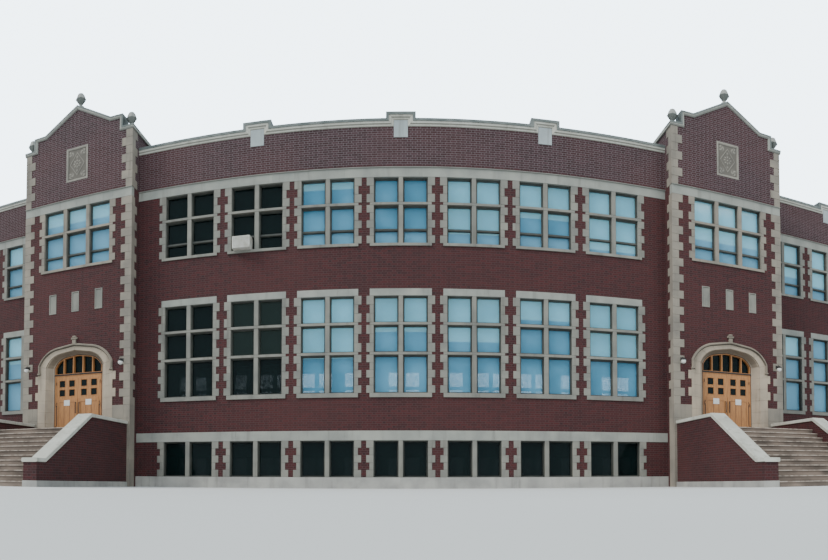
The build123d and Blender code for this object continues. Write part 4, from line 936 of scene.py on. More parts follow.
acorn = [(0.001, 0.0), (0.15, 0.0), (0.15, 0.04), (0.085, 0.065), (0.058, 0.10), (0.06, 0.135)]
acorn += [(0.075, 0.15), (0.15, 0.25), (0.205, 0.33), (0.208, 0.345), (0.19, 0.36), (0.168, 0.43)]
acorn += [(0.135, 0.51), (0.105, 0.55), (0.05, 0.572), (0.001, 0.58)]
shapes = []
ridge = GABLE_TOP + GABLE_COPING / math.cos(math.atan2(GABLE_TOP - KNEELER_TOP, KNEELER_IN))
for middle in TOWERS_X:
    for across, foot in ((0, ridge), (-1, SHELF_TOP + GABLE_COPING), (1, SHELF_TOP + GABLE_COPING)):
        x = middle + across * (TOWER_HALF - FINIAL_INSET)
        shapes.append(turned(acorn, (x, TOWER_FACE + WALL / 2, foot), FINIAL_FLATS))
finial_stone = stone_finish("finial_stone", FINIAL_PALE, FINIAL_GREY, FINIAL_STAIN_AND_SHADE, True)
place_mesh("gable_finials", *gather(*shapes), finial_stone, replaces=["finials"])

# The doorways: splayed stone jambs and a depressed arch of long voussoirs, with a pointed
# crest stone on a moulded hood that stops on small returns at the arch's springing.
DOOR_HALF = 1.05
FRAME_FACE = TOWER_FACE + 0.29
ARCH_SPRING, ARCH_RISE = 4.50, 0.48
HOOD_SPRING, HOOD_RISE = 4.56, 0.78
HOOD_WIDTH = 0.11
HOOD_FOOT = 4.30
KNEE, KNEE_RISE = 0.5, 0.84
HAUNCH_IN, HAUNCH_UP = 0.4, 0.667
SPLAY = 0.22
SPLAY_LIFT = 0.11
JAMB_STONES = 6
ARCH_JOINTS = (1.5, 2, 2.5, 3)
JAMB_GAP, ARCH_GAP = 0.0008, 0.003
CREST_TOP = 5.61
CREST_PROUD = 0.075
TAIL = 0.13
DOORWAY_PALE = (0.50, 0.41, 0.31)
DOORWAY_GREY = (0.36, 0.30, 0.235)
DOORWAY_STAIN_AND_SHADE = (0.20, 0.165, 0.125)
HOOD_PALE = (0.34, 0.285, 0.22)
HOOD_GREY = (0.19, 0.165, 0.135)
HOOD_STAIN_AND_SHADE = (0.085, 0.075, 0.06)

doorway_stone = stone_finish("doorway_stone", DOORWAY_PALE, DOORWAY_GREY, DOORWAY_STAIN_AND_SHADE, True)
hood_stone = stone_finish("hood_stone", HOOD_PALE, HOOD_GREY, HOOD_STAIN_AND_SHADE, True)


def arch_points(half, foot, spring, rise, stations):
    """Points of a depressed arch at stations: 0 to 1 up the side, 1 to 2 round the haunch,
    2 to 3 straight to the point. The haunch is the circle through its ends and a bulge.
    """
    knee = np.array([half * KNEE, spring + rise * KNEE_RISE])
    start = np.array([half, spring])
    bulge = np.array([half - (half - knee[0]) * HAUNCH_IN, spring + (knee[1] - spring) * HAUNCH_UP])
    chords = np.stack([bulge - start, knee - start])
    centre = start + np.linalg.solve(chords, (chords ** 2).sum(axis=1) / 2)
    radius = np.linalg.norm(start - centre)
    first, last = (math.atan2(*(p - centre)[::-1]) for p in (start, knee))
    u = np.asarray(stations, float)
    angle = first + (last - first) * np.clip(u - 1, 0, 1)
    curve = centre + radius * np.stack([np.cos(angle), np.sin(angle)], axis=-1)
    upright = np.stack([np.full_like(u, half), foot + (spring - foot) * np.clip(u, 0, 1)], axis=-1)
    slope = np.clip(u - 2, 0, 1)[:, None]
    straight = knee + slope * (np.array([0, spring + rise]) - knee)
    return np.where(u[:, None] < 1, upright, np.where(u[:, None] < 2, curve, straight))


def arch_path(middle, half, foot, spring, rise):
    """The whole line of an arch, up the left side, over the point and down the right."""
    right = arch_points(half, foot, spring, rise, [0, *np.linspace(1, 2, 9), 3])
    return np.concatenate([right * [-1, 1], right[-2::-1]]) + [middle, 0]


def doorway_stones(middle):
    """Each stone is a skin between two stations, through eight outlines from the frame out.

    The gaps are the shares of a station that a stone stops short of its two joints.
    """
    back = TOWER_FACE + WALL
    outer = TOWER_FACE - STONE_PROUD
    outlines = [
        (DOOR_HALF, ARCH_SPRING, ARCH_RISE, back),
        (DOOR_HALF, ARCH_SPRING, ARCH_RISE, FRAME_FACE),
        (DOOR_HALF + 0.05, ARCH_SPRING, ARCH_RISE + 0.03, FRAME_FACE - 0.03),
        (DOOR_HALF + SPLAY - 0.04, ARCH_SPRING, ARCH_RISE + SPLAY_LIFT - 0.02, outer + 0.05),
        (DOOR_HALF + SPLAY - 0.01, ARCH_SPRING, ARCH_RISE + SPLAY_LIFT, outer + 0.04),
        (DOOR_HALF + SPLAY, ARCH_SPRING, ARCH_RISE + SPLAY_LIFT, outer),
        (SURROUND_HALF, HOOD_SPRING, HOOD_RISE, outer),
        (SURROUND_HALF, HOOD_SPRING, HOOD_RISE, back),
    ]
    joints = [*np.linspace(0, 1, JAMB_STONES + 1), *ARCH_JOINTS]
    shapes = []
    for low, high in zip(joints, joints[1:]):
        gap = JAMB_GAP if high <= 1 else ARCH_GAP
        stations = np.linspace(low + gap, high - gap, 4 if high > 1 else 2)
        flat = np.stack([
            arch_points(half, FIRST_FLOOR, spring, rise, stations) for half, spring, rise, _ in outlines
        ], axis=1)
        depth = np.broadcast_to([y for *_, y in outlines], flat.shape[:2])
        for side in (-1, 1):
            sections = np.stack([middle + side * flat[..., 0], depth, flat[..., 1]], axis=-1)
            shapes.append(skin(sections))
    return shapes


hood_section = [(0.02, 0), (-0.02, 0), (-0.045, 0.02), (-0.085, 0.035), (-0.09, 0.07)]
hood_section += [(-0.06, 0.085), (-0.03, HOOD_WIDTH), (0.02, HOOD_WIDTH)]
section = [(TOWER_FACE + y, h) for y, h in hood_section]
crest = [(0.075, HOOD_SPRING + HOOD_RISE - 0.09), (0.075, CREST_TOP - 0.16), (0.13, CREST_TOP - 0.14)]
crest += [(0.13, CREST_TOP - 0.09), (0.07, CREST_TOP - 0.06)]
shapes, hoods = [], []
for middle in TOWERS_X:
    shapes += doorway_stones(middle)
    inner = SURROUND_HALF - HOOD_WIDTH
    path = arch_path(middle, inner, HOOD_FOOT, HOOD_SPRING, HOOD_RISE - HOOD_WIDTH)
    hoods.append(skin(mitred(path, section, "xz")))
    for side in (-1, 1):
        x0, x1 = sorted((middle + side * (inner - 0.01), middle + side * (SURROUND_HALF + 0.02)))
        hoods.append(blocks([(x0, x1, HOOD_FOOT - 0.07, HOOD_FOOT)], TOWER_FACE - 0.085, 0.09, 0.02))
    for (half, low), (_, high) in zip(crest, crest[1:] + [(0, CREST_TOP)]):
        stone = [(middle - half, middle + half, low, high)]
        hoods.append(blocks(stone, TOWER_FACE - CREST_PROUD, CREST_PROUD, 0.012))
    levels = np.linspace(FOOT_TOP, ARCH_SPRING, round((ARCH_SPRING - FOOT_TOP) / CORNER_COURSE) + 1)
    tails = []
    for i in range(1, len(levels) - 1, 2):
        for side in (-1, 1):
            x0, x1 = sorted((middle + side * SURROUND_HALF, middle + side * (SURROUND_HALF + TAIL)))
            tails.append((x0, x1, levels[i], levels[i + 1]))
    shapes.append(blocks(tails, TOWER_FACE - STONE_PROUD, 0.1))
place_mesh("doorway_surrounds", *gather(*shapes), doorway_stone, replaces=["door_jambs", "door_arches"])
place_mesh("doorway_hoods", *gather(*hoods), hood_stone)
dress(["door_foot_walls"], plain_stone)

# The doors: varnished timber, tan with an orange cast. Each leaf is boarded upright inside
# a frame, under four small square panes; pulls and hinges are black iron.
DOOR_TAN = (0.54, 0.25, 0.085)
DOOR_BROWN = (0.36, 0.155, 0.055)
LEAF_NEAR, LEAF_FAR = 0.003, 0.959
LEAF_FOOT, LEAF_TOP = 1.95, 4.164
LEAF_THICK = 0.05
PANE = 0.25
PANE_PITCH = (0.43, 0.35)
PANES_MIDDLE = (0.481, LEAF_TOP - 0.46)
BOARD_RELIEF = 0.012
BOARDS_TOP = PANES_MIDDLE[1] - (PANE_PITCH[1] + PANE) / 2 - 0.23
STILE = 0.11
LOCK_STILE = 0.07
FOOT_RAIL = 0.23
GROOVE = 0.008
# The dark of the painted shade in the grooves between the boards.
GROOVE_SHADE = (0.07, 0.030, 0.012)
IRON = (0.02, 0.02, 0.022)
LEAF_GLASS = (0.006, 0.010, 0.010)
LEAF_GLASS_DEEP, LEAF_GLASS_PALE = (0.004, 0.007, 0.007), (0.010, 0.016, 0.016)
PAPER_PALE, PAPER_GREY = (0.78, 0.77, 0.75), (0.68, 0.68, 0.67)

door_timber, tree, shader = new_material("door_timber", DOOR_TAN, 0.42)
rings_in_wood = blotches(tree, 6.0, 5.0, (9.0, 9.0, 0.55))
colour = blend_colours(tree, stepped(tree, rings_in_wood, 0.35, 0.7), DOOR_TAN, DOOR_BROWN)
fine_grain = blotches(tree, 60.0, 3.0, (6.0, 6.0, 0.3))
colour = tinge(tree, colour, fine_grain, 0.25, DOOR_BROWN)
where = axes_of(tree, "TexCoord", "Object")
# The leaf's own face is painted dark below the boards' top, as painted shade in the grooves
# between the boards; it shows there and in a strip along the hinge edge, where the joinery stops short
low_down = calculate(tree, "LESS_THAN", where[2], BOARDS_TOP)
sideways = calculate(tree, "ABSOLUTE", where[0])
on_leaf = calculate(tree, "COMPARE", sideways, TOWER_X, LEAF_FAR + 0.002)
on_boards = calculate(tree, "MULTIPLY", low_down, on_leaf)
in_groove = calculate(tree, "COMPARE", where[1], FRAME_FACE, 0.0025)
grooved = calculate(tree, "MULTIPLY", on_boards, in_groove)
colour = tinge(tree, colour, grooved, 0.8, GROOVE_SHADE)
is_iron = calculate(tree, "LESS_THAN", where[1], FRAME_FACE - BOARD_RELIEF - 0.0015)
paint(tree, shader, blend_colours(tree, is_iron, colour, IRON))
roughen(tree, shader, fine_grain, 0.0008)
leaf_names = [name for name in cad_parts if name.endswith("_leaf")]
dress([*leaf_names, "left_door_frame", "right_door_frame"], door_timber)

leaf_glass, tree, shader = new_material("leaf_glass", LEAF_GLASS, 0.06)
wired = blotches(tree, 30.0, 2.0)
paint(tree, shader, blend_colours(tree, wired, LEAF_GLASS_DEEP, LEAF_GLASS_PALE))
shader.inputs["Specular IOR Level"].default_value = 0.15
notice_paper, tree, shader = new_material("notice_paper", PAPER_PALE, 0.8)
paint(tree, shader, blend_colours(tree, blotches(tree, 12.0, 2.0), PAPER_PALE, PAPER_GREY))


def mirrored(panes, middle, side):
    """Rectangles given outward from the doorway's middle, put on their own side."""
    return np.array([sorted((middle + side * x0, middle + side * x1)) + [z0, z1] for x0, x1, z0, z1 in panes])


def pane_bead(face, side):
    """A bead round a pane in the leaf's front, side -1, or its rear, side 1."""
    bead = [(-0.014, -0.001), (-0.014, 0.007), (-0.004, 0.007), (0.006, -0.004)]
    bead += [(0.006, -0.02), (-0.001, -0.02)]
    return [(inset, face + side * out) for inset, out in bead]


across, level = PANES_MIDDLE
pane_holes = [
    (x - PANE / 2, x + PANE / 2, z - PANE / 2, z + PANE / 2)
    for x in (across - PANE_PITCH[0] / 2, across + PANE_PITCH[0] / 2)
    for z in (level - PANE_PITCH[1] / 2, level + PANE_PITCH[1] / 2)
]
rails_foot = level - PANE_PITCH[1] / 2 - PANE / 2 - 0.10
left, right = LEAF_NEAR + 0.006, LEAF_FAR - 0.05
inner, outer = left + STILE, right - LOCK_STILE
rail_top = LEAF_FOOT + 0.01 + FOOT_RAIL
stiles_and_rails = [
    (left, inner, LEAF_FOOT + 0.01, rails_foot), (outer, right, LEAF_FOOT + 0.01, rails_foot),
    (inner, outer, LEAF_FOOT + 0.01, rail_top), (inner, outer, BOARDS_TOP, rails_foot),
]
edges = np.linspace(inner, outer, 4)
leaf_boards = [
    (a + GROOVE, b - GROOVE, rail_top + GROOVE, BOARDS_TOP - GROOVE) for a, b in zip(edges, edges[1:])
]
front = FRAME_FACE
faces_of_leaf = ((front, -1), (front + LEAF_THICK, 1))
paper = front - BOARD_RELIEF
paper_profile = [(0, paper + 0.001), (0, paper - 0.0008), (0.001, paper - 0.001)]
for doorway, sign in SIDES:
    middle = sign * TOWER_X
    for hand, side in SIDES:
        leaf = f"{doorway}_doorway_{hand}_leaf"
        holes = mirrored(pane_holes, middle, side)
        frame_parts = mirrored(stiles_and_rails, middle, side)
        boards = mirrored(leaf_boards, middle, side)
        shapes = []
        for face, out in faces_of_leaf:
            shapes.append(blocks(frame_parts, face + out * BOARD_RELIEF, BOARD_RELIEF + 0.002, 0.003, out))
            shapes.append(blocks(boards, face + out * 0.004, 0.006, 0.003, out))
        shapes += [rings(holes, pane_bead(face, out), out) for face, out in faces_of_leaf]
        place_mesh(f"{leaf}_joinery", *gather(*shapes), door_timber, body=leaf, slot="door_wood")
        glass = rings(holes, [(0, front + 0.029), (0, front + 0.023), (0.002, front + 0.021)], closed=False)
        place_mesh(f"{leaf}_panes", *glass, leaf_glass, body=leaf, slot="window_glass")
        notice = [(across - 0.13, across + 0.12, rails_foot - 0.26, rails_foot - 0.05)]
        sheet = rings(mirrored(notice, middle, side), paper_profile, closed=False)
        place_mesh(f"{leaf}_notice", *sheet, notice_paper, body=leaf, slot="globe_glass")

# The door frames carry a moulded transom over the leaves and a bead round the fanlight's
# five panes.
DOOR_HEAD = 4.17
TRANSOM_TOP = 4.27
FANLIGHT_PANES = 5
BEAD_INSET = 0.03

shapes = []
bead = [(0.01, 0), (-0.012, 0), (-0.018, 0.012), (-0.016, 0.022), (-0.008, 0.028), (0.01, 0.028)]
section = [(FRAME_FACE + y, h) for y, h in bead]
for middle in TOWERS_X:
    transom = [(middle - DOOR_HALF, middle + DOOR_HALF, DOOR_HEAD + 0.03, TRANSOM_TOP - 0.02)]
    shapes.append(blocks(transom, FRAME_FACE - 0.03, 0.03, 0.012))
    rise = ARCH_RISE - BEAD_INSET
    path = arch_path(middle, DOOR_HALF - BEAD_INSET, FIRST_FLOOR, ARCH_SPRING, rise)
    shapes.append(skin(mitred(path, section, "xz")))
    for i in range(1, FANLIGHT_PANES):
        bar = middle + (i - FANLIGHT_PANES / 2) * 2 * DOOR_HALF / FANLIGHT_PANES
        upright = [(bar - 0.016, bar + 0.016, TRANSOM_TOP, ARCH_SPRING + 0.25)]
        shapes.append(blocks(upright, FRAME_FACE - 0.012, 0.014, 0.006))
place_mesh("door_frame_mouldings", *gather(*shapes), door_timber, slot="door_wood")

# The flights of steps: cast concrete, grey-brown and stained, each tread a slab with a
# rounded nosing, paler in patches along its edge, over a riser set back a little.
STEP_HALF = 1.78
STEP_COUNT = 12
STEP_RISE = FIRST_FLOOR / STEP_COUNT
TREAD = 0.29
TREAD_THICK = 0.05
STAIR_BACK = TOWER_FACE - STONE_PROUD
LANDING_DEPTH = 2.685
LANDING_FROM = STAIR_BACK - LANDING_DEPTH
STAIR_FRONT = LANDING_FROM - (STEP_COUNT - 1) * TREAD
STEP_GREY = (0.30, 0.235, 0.190)
STEP_DARK = (0.125, 0.098, 0.080)
STEP_NOSING_PALE = (0.46, 0.40, 0.34)

step_concrete, tree, shader = new_material("step_concrete", STEP_GREY, 0.9)
stains = stepped(tree, blotches(tree, 1.1, 6.0, (1, 1, 2)), 0.3, 0.72)
colour = blend_colours(tree, stains, STEP_GREY, STEP_DARK)
height = axes_of(tree, "TexCoord", "Object")[2]
within = calculate(tree, "FRACT", calculate(tree, "DIVIDE", height, STEP_RISE))
# A band along the front of each nosing, made paler in patches.
nosing_band = stepped(tree, within, 0.80, 0.93)
nosing_patches = stepped(tree, blotches(tree, 7.0, 5.0), 0.35, 0.6)
colour = blend_colours(tree, calculate(tree, "MULTIPLY", nosing_band, nosing_patches), colour, STEP_NOSING_PALE)
grit = blotches(tree, 150.0, 3.0)
paint(tree, shader, tinge(tree, colour, grit, 0.25, STEP_DARK))
roughen(tree, shader, grit, 0.0015)

for side_name, sign in SIDES:
    x0, x1 = sign * TOWER_X - STEP_HALF, sign * TOWER_X + STEP_HALF
    shapes = []
    for i in range(STEP_COUNT):
        front = STAIR_FRONT + i * TREAD
        rear = STAIR_BACK if i == STEP_COUNT - 1 else front + TREAD + 0.03
        top = (i + 1) * STEP_RISE
        low = top - TREAD_THICK
        section = [(rear, low), (front + 0.012, low), (front, low + 0.01), (front, top - 0.02)]
        section += [(front + 0.003, top - 0.008), (front + 0.010, top - 0.002)]
        section += [(front + 0.022, top), (rear, top)]
        ends = [np.column_stack([np.full(len(section), x), section]) for x in (x0, x1)]
        shapes.append(skin(np.stack(ends)))
        face = front + 0.02
        shapes.append(blocks([(x0, x1, i * STEP_RISE, low)], face, STAIR_BACK - face, 0.004))
    nodes = [f"{side_name}_steps"]
    name = f"{side_name}_flight"
    place_mesh(name, *gather(*shapes), step_concrete, replaces=nodes, slot="step_stone")

# The stair walls carry pale stone copings in long slabs, level beside the landing and
# sloping down beside the steps, with a drip under each edge; their feet are concrete.
STAIR_WALL_FAR = 2.23
STAIR_WALL_TOP = 2.23
STAIR_PIER_TOP = 0.70
STAIR_COPING_OUT = 0.04
STAIR_COPING_THICK = 0.12
STAIR_COPING_RIM = 0.015
CONCRETE_PALE = (0.42, 0.41, 0.38)
CONCRETE_GREY = (0.28, 0.275, 0.26)
CONCRETE_STAIN_AND_SHADE = (0.16, 0.155, 0.14)

path = [(STAIR_FRONT - 0.04, STAIR_PIER_TOP), (STAIR_FRONT + 0.446, STAIR_PIER_TOP)]
path += [(LANDING_FROM, STAIR_WALL_TOP), (STAIR_BACK, STAIR_WALL_TOP)]
rim, thick = STAIR_COPING_RIM, STAIR_COPING_THICK
shapes = []
for middle in TOWERS_X:
    for side in (-1, 1):
        near, far = sorted((middle + side * STEP_HALF, middle + side * STAIR_WALL_FAR))
        x0, x1 = near - STAIR_COPING_OUT, far + STAIR_COPING_OUT
        section = [(x0 + 0.03, 0), (x0 + 0.02, 0.012), (x0, 0.012), (x0, thick - rim)]
        section += [(x0 + rim, thick - 0.004), (x0 + 0.06, thick), (x1 - 0.06, thick)]
        section += [(x1 - rim, thick - 0.004), (x1, thick - rim)]
        section += [(x1, 0.012), (x1 - 0.02, 0.012), (x1 - 0.03, 0)]
        shapes.append(slabs(divided(path, 1.1), section, "yz"))
place_mesh("stair_coping_slabs", *gather(*shapes), coping_stone, replaces=["stair_copings"])

foot_concrete = stone_finish("foot_concrete", CONCRETE_PALE, CONCRETE_GREY, CONCRETE_STAIN_AND_SHADE, False)
dress(["stair_plinths", "plinth"], foot_concrete)

# Blank stone tablets stand in threes above each doorway, sunk a little inside a border.
SLOT_HALF = (0.16, 0.38)
SLOT_Z = 6.91
SLOT_BORDER = 0.045
SLOT_SINK = 0.02

outer = TOWER_FACE - STONE_PROUD
panes = [
    (m + i - SLOT_HALF[0], m + i + SLOT_HALF[0], SLOT_Z - SLOT_HALF[1], SLOT_Z + SLOT_HALF[1])
    for m in TOWERS_X for i in (-1, 0, 1)
]
tablet = [(0, TOWER_FACE + 0.06), (0, outer + 0.006), (0.006, outer), (SLOT_BORDER - 0.012, outer)]
tablet += [(SLOT_BORDER, outer + 0.012), (SLOT_BORDER + 0.004, outer + SLOT_SINK)]
place_mesh("stone_tablets", *rings(panes, tablet, closed=False), block_stone, replaces=["wall_slot_stones"])

# The gables' carved panels: one stone each, a moulded border round a sunk field with a
# rosette in a lozenge and a curled leaf in each corner, cut in low relief. Painted shade
# darkens the field the deeper it lies.
PANEL_Z = 12.15
PANEL_HALF = (0.47, 0.64)
PANEL_BORDER = 0.09
PANEL_SINK = 0.035
CARVING_GRID = (70, 96)
CARVED_PALE = (0.31, 0.285, 0.245)
CARVED_GREY = (0.22, 0.205, 0.18)
CARVED_RECESS_SHADE = (0.105, 0.094, 0.080)


def carving(x, z):
    """Height in 0 to 1 over a field of half sizes 1 by 1.45.

    A moulding follows |x|/0.80 + |z|/1.12 = 1. The rosette is eight lobes on a ring round
    a domed boss. A leaf in each corner is a ring of lobes that turn with their distance
    from its middle, so that they curl.
    """
    lozenge = np.exp(-((np.abs(x) / 0.80 + np.abs(z) / 1.12 - 1) / 0.07) ** 2) * 0.6
    reach, turn = np.hypot(x, z), np.arctan2(z, x)
    lobes = 0.55 + 0.45 * np.cos(8 * turn)
    rosette = np.exp(-((reach - 0.30) / 0.12) ** 2) * lobes
    boss = np.exp(-(reach / 0.10) ** 4) * 0.9
    tip = np.exp(-((np.abs(x) / 0.16) ** 2 + ((np.abs(z) - 0.68) / 0.20) ** 2) * 2) * 0.6
    u, v = np.abs(x) - 0.70, np.abs(z) - 1.12
    near, swing = np.hypot(u, v), np.arctan2(v, u)
    curl = 0.5 + 0.5 * np.cos(3 * swing - 14 * near)
    leaf = np.exp(-(near / 0.34) ** 4) * (0.25 + 0.75 * curl)
    return np.maximum.reduce([lozenge, rosette, boss, tip, leaf * 0.85])


carved_stone, tree, shader = new_material("carved_stone", CARVED_PALE, 0.9)
worn = stepped(tree, blotches(tree, 3.0, 6.0), 0.3, 0.75)
colour = blend_colours(tree, worn, CARVED_PALE, CARVED_GREY)
# Painted shade: the deeper into the sunk field, the darker the stone.
depth_in = axes_of(tree, "TexCoord", "Object")[1]
recess_shade = stepped(tree, depth_in, outer + 0.010, outer + PANEL_SINK)
paint(tree, shader, tinge(tree, colour, recess_shade, 0.8, CARVED_RECESS_SHADE))
roughen(tree, shader, blotches(tree, 60.0, 4.0), 0.002)

shapes = []
half_x, half_z = PANEL_HALF
field = outer + PANEL_SINK
border = [(0, TOWER_FACE + 0.08), (0, outer + 0.008), (0.008, outer), (PANEL_BORDER - 0.035, outer)]
border += [(PANEL_BORDER - 0.03, outer + 0.008), (PANEL_BORDER - 0.012, outer + 0.012)]
border += [(PANEL_BORDER, field)]
across, up = (np.linspace(-size, size, count) for size, count in zip((1, 1.45), CARVING_GRID))
u, v = np.meshgrid(across, up, indexing="ij")
fade = np.clip((1 - np.abs(u)) / 0.06, 0, 1) * np.clip((1.45 - np.abs(v)) / 0.06, 0, 1)
height = carving(u, v) * fade * (PANEL_SINK - 0.006) - 0.0015 * (1 - fade) + 0.0005
inner_x, inner_z = half_x - PANEL_BORDER - 0.002, half_z - PANEL_BORDER - 0.002
for middle in TOWERS_X:
    pane = [(middle - half_x, middle + half_x, PANEL_Z - half_z, PANEL_Z + half_z)]
    shapes.append(rings(pane, border, closed=False))
    front = np.stack([middle + u * inner_x, field - height, PANEL_Z + v * inner_z / 1.45], axis=-1)
    behind = front.copy()
    behind[..., 1] = field + 0.01
    shapes.append(skin(np.concatenate([front, behind[:, ::-1]], axis=1)))
place_mesh("carved_gable_panels", *gather(*shapes), carved_stone, replaces=["carved_panels"])

# Each doorway has two lanterns: a white glass globe hung under a black iron bracket, which
# is a plate on the wall, an arm that curves out and down, and a fitter cup.
LANTERN_OUT = 2.04
ARM_Z = 4.55
LANTERN_REACH = 0.21
GLOBE_RADIUS = 0.09
GLOBE_Y = STAIR_BACK - LANTERN_REACH
GLOBE_Z = ARM_Z - 0.02 - GLOBE_RADIUS

IRON_RUBBED = (0.06, 0.058, 0.056)
OPAL = (0.84, 0.83, 0.79)
OPAL_CLOUD = (0.76, 0.75, 0.72)

black_iron = patchy_metal(
    "black_iron", IRON, IRON_RUBBED, (0.45, 0.6), (25.0, 4.0, 0.4, 0.7), (90.0, 0.0008)
)
opal_glass, tree, shader = new_material("opal_glass", OPAL, 0.12)
shader.inputs["Subsurface Weight"].default_value = 0.3
shader.inputs["Subsurface Radius"].default_value = (0.05, 0.05, 0.05)
paint(tree, shader, blend_colours(tree, blotches(tree, 6.0, 2.0), OPAL, OPAL_CLOUD))


def bar(path, radius, sides=8):
    """A round bar along a path in an upright plane across the wall; path is (n, 3).

    Each ring lies across the run there: its axes are X and the run's normal in the plane.
    """
    path = np.asarray(path, float)
    run = np.gradient(path, axis=0)
    run /= np.linalg.norm(run, axis=1)[:, None]
    normal = np.stack([np.zeros(len(run)), -run[:, 2], run[:, 1]], axis=1)
    angle = np.arange(sides) * 2 * math.pi / sides
    wide = np.cos(angle)[None, :, None] * np.array([radius, 0, 0])
    return skin(path[:, None] + wide + np.sin(angle)[None, :, None] * normal[:, None] * radius)


irons, globes = [], []
for x in [m + side * LANTERN_OUT for m in TOWERS_X for side in (-1, 1)]:
    plate = [(x - 0.03, x + 0.03, ARM_Z - 0.06, ARM_Z + 0.06)]
    irons.append(blocks(plate, STAIR_BACK - 0.012, 0.012, 0.005))
    t = np.linspace(0, 1, 14)
    arm_y = STAIR_BACK - 0.005 - (LANTERN_REACH - 0.005) * np.sin(t * math.pi / 2)
    arm_z = ARM_Z + 0.012 - 0.03 * np.cos(t * math.pi) ** 2 + 0.03 * np.sin(t * math.pi)
    irons.append(bar(np.column_stack([np.full_like(t, x), arm_y, arm_z]), 0.011))
    brace_y = STAIR_BACK - 0.005 - 0.13 * t
    brace_z = ARM_Z - 0.045 + 0.055 * t ** 2
    irons.append(bar(np.column_stack([np.full_like(t, x), brace_y, brace_z]), 0.006))
    cup = [(0.001, 0.052), (0.078, 0.050), (0.094, 0.038), (0.097, 0.044), (0.088, 0.074), (0.066, 0.100)]
    cup += [(0.030, 0.116), (0.016, 0.120), (0.014, 0.131), (0.001, 0.132)]
    irons.append(turned(cup, (x, GLOBE_Y, GLOBE_Z), 16))
    rise = np.linspace(-math.pi / 2 + 0.02, 0.6, 15)
    ball = [(GLOBE_RADIUS * math.cos(a), GLOBE_RADIUS * math.sin(a)) for a in rise]
    globes.append(turned(ball + [(0.001, ball[-1][1])], (x, GLOBE_Y, GLOBE_Z), 24))
place_mesh("lantern_irons", *gather(*irons), black_iron, replaces=["lantern_brackets"], slot="black_iron")
balls = gather(*globes)
place_mesh(
    "lantern_balls", *balls, opal_glass, replaces=["lantern_globes"], slot="globe_glass", smooth=True
)

# The window air conditioner: an off-white enamelled steel case on the sill of one second
# floor window, with a louvred outlet crossed by two upright bars, and ribs along its sides.
COOLER_X = MAIN_BAYS[1] - (LIGHT + MULLION) / 2
COOLER_HALF = 0.32
COOLER_FOOT, COOLER_TOP = 8.25, 8.67
COOLER_FRONT = MAIN_FACE - 0.30
COOLER_DEPTH = 0.50

ENAMEL = (0.66, 0.65, 0.60)
ENAMEL_YELLOWED = (0.50, 0.48, 0.42)

enamel = patchy_metal(
    "enamelled_steel", ENAMEL, ENAMEL_YELLOWED, (0.4, 0.0), (5.0, 3.0, 0.3, 0.7), (200.0, 0.0004)
)
x0, x1 = COOLER_X - COOLER_HALF, COOLER_X + COOLER_HALF
case = [(0, COOLER_FRONT + COOLER_DEPTH), (0, COOLER_FRONT + 0.03), (0.012, COOLER_FRONT + 0.008)]
case += [(0.03, COOLER_FRONT), (0.045, COOLER_FRONT), (0.05, COOLER_FRONT + 0.012)]
shapes = [rings([(x0, x1, COOLER_FOOT, COOLER_TOP)], case, closed=False)]
levels = np.linspace(COOLER_FOOT + 0.06, COOLER_TOP - 0.075, 12)
louvres = [(x0 + 0.055, x1 - 0.055, z, z + 0.016) for z in levels]
shapes.append(blocks(louvres, COOLER_FRONT + 0.001, 0.012, 0.003))
span = 2 * COOLER_HALF - 0.13
lefts = [x0 + 0.055 + share * span for share in (0.33, 0.67)]
uprights = [(left, left + 0.02, COOLER_FOOT + 0.052, COOLER_TOP - 0.052) for left in lefts]
shapes.append(blocks(uprights, COOLER_FRONT - 0.001, 0.012, 0.003))
levels = np.linspace(COOLER_FOOT + 0.07, COOLER_TOP - 0.08, 9)
for x in (x0, x1):
    ribs = [(x - 0.004, x + 0.004, z, z + 0.012) for z in levels]
    shapes.append(blocks(ribs, COOLER_FRONT + 0.05, 0.15, 0.003))
place_mesh("cooler_case", *gather(*shapes), enamel, replaces=["window_air_conditioner"], slot="cooler_metal")

# Roofs and floors: the flat roofs are felt under washed gravel; the floors inside are
# poured concrete, dull and a little patchy.
GRAVEL = (0.27, 0.26, 0.245)
GRAVEL_DARK, GRAVEL_PALE = (0.17, 0.165, 0.155), (0.40, 0.385, 0.36)
PONDING = (0.12, 0.12, 0.11)

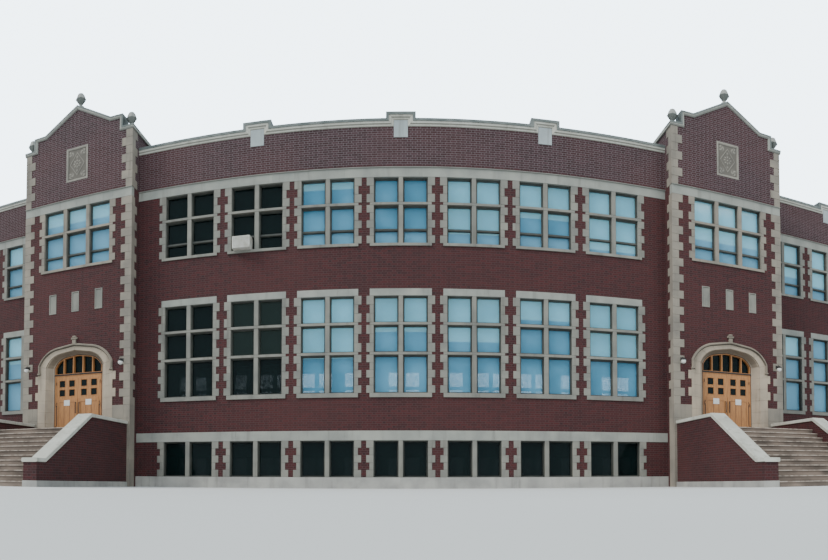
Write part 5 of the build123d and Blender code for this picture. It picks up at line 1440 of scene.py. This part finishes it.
roof_gravel, tree, shader = new_material("roof_gravel", GRAVEL, 0.95)
place = add_node(tree, "TexCoord").outputs["Object"]
pebbles = add_node(tree, "TexVoronoi", {"Vector": place, "Scale": 45.0})
tones = add_node(tree, "SeparateXYZ", {0: pebbles.outputs["Color"]}).outputs[0]
colour = blend_colours(tree, tones, GRAVEL_DARK, GRAVEL_PALE)
ponds = stepped(tree, blotches(tree, 0.25, 5.0), 0.45, 0.65)
paint(tree, shader, tinge(tree, colour, ponds, 0.4, PONDING))
roughen(tree, shader, pebbles.outputs["Distance"], 0.01)
dress(["roof_deck", "tower_roofs"], roof_gravel)
dress(["ground_slab", "first_floor", "second_floor"], foot_concrete)

# The rear repeats the storeys plainly: sill and lintel bands of long stones from end to
# end, and in each opening a stone mullion between two lights with the same metal sashes.
REAR_OUTER = REAR_FACE + STONE_PROUD
REAR_STONE = 0.115
REAR_BAYS = (np.arange(15) - 7) * BAY
REAR_SETBACK = 0.04
REAR_SASH_DEPTH = 0.06
REAR_BANDS = (
    (BASEMENT_ROW[1], FIRST_FLOOR),
    (FIRST_ROW[0] - SILL_HEIGHT, FIRST_ROW[0]),
    (FIRST_ROW[1], FIRST_ROW[1] + LINTEL_HEIGHT),
    (SECOND_ROW[0] - SILL_HEIGHT, SECOND_ROW[0]),
    (SECOND_ROW[1], BAND_TOP),
)

panes = [pane for low, high in REAR_BANDS for pane in band(-LENGTH_HALF, LENGTH_HALF, low, high)]
posts, lights = [], []
for row in ALL_ROWS:
    lights += light_panes(REAR_BAYS, 2, row)
    for foot, top in pane_stops(row):
        posts += [(m - MULLION / 2, m + MULLION / 2, foot, top) for m in REAR_BAYS]
    for transom in row[2]:
        z0, z1 = transom - TRANSOM / 2, transom + TRANSOM / 2
        posts += [(m - LIGHT - MULLION / 2, m + LIGHT + MULLION / 2, z0, z1) for m in REAR_BAYS]
shapes = [blocks(panes, REAR_OUTER, REAR_STONE, side=1), blocks(posts, REAR_FACE - 0.02, 0.09, side=1)]
place_mesh("rear_bands_and_mullions", *gather(*shapes), block_stone, replaces=["rear_stonework"])
front = REAR_FACE - REAR_SETBACK
rear_sash = sash_profile(front, front - REAR_SASH_DEPTH)
place_mesh("rear_sashes", *rings(lights, rear_sash, side=1), sash_metal, slot="flashing_metal")
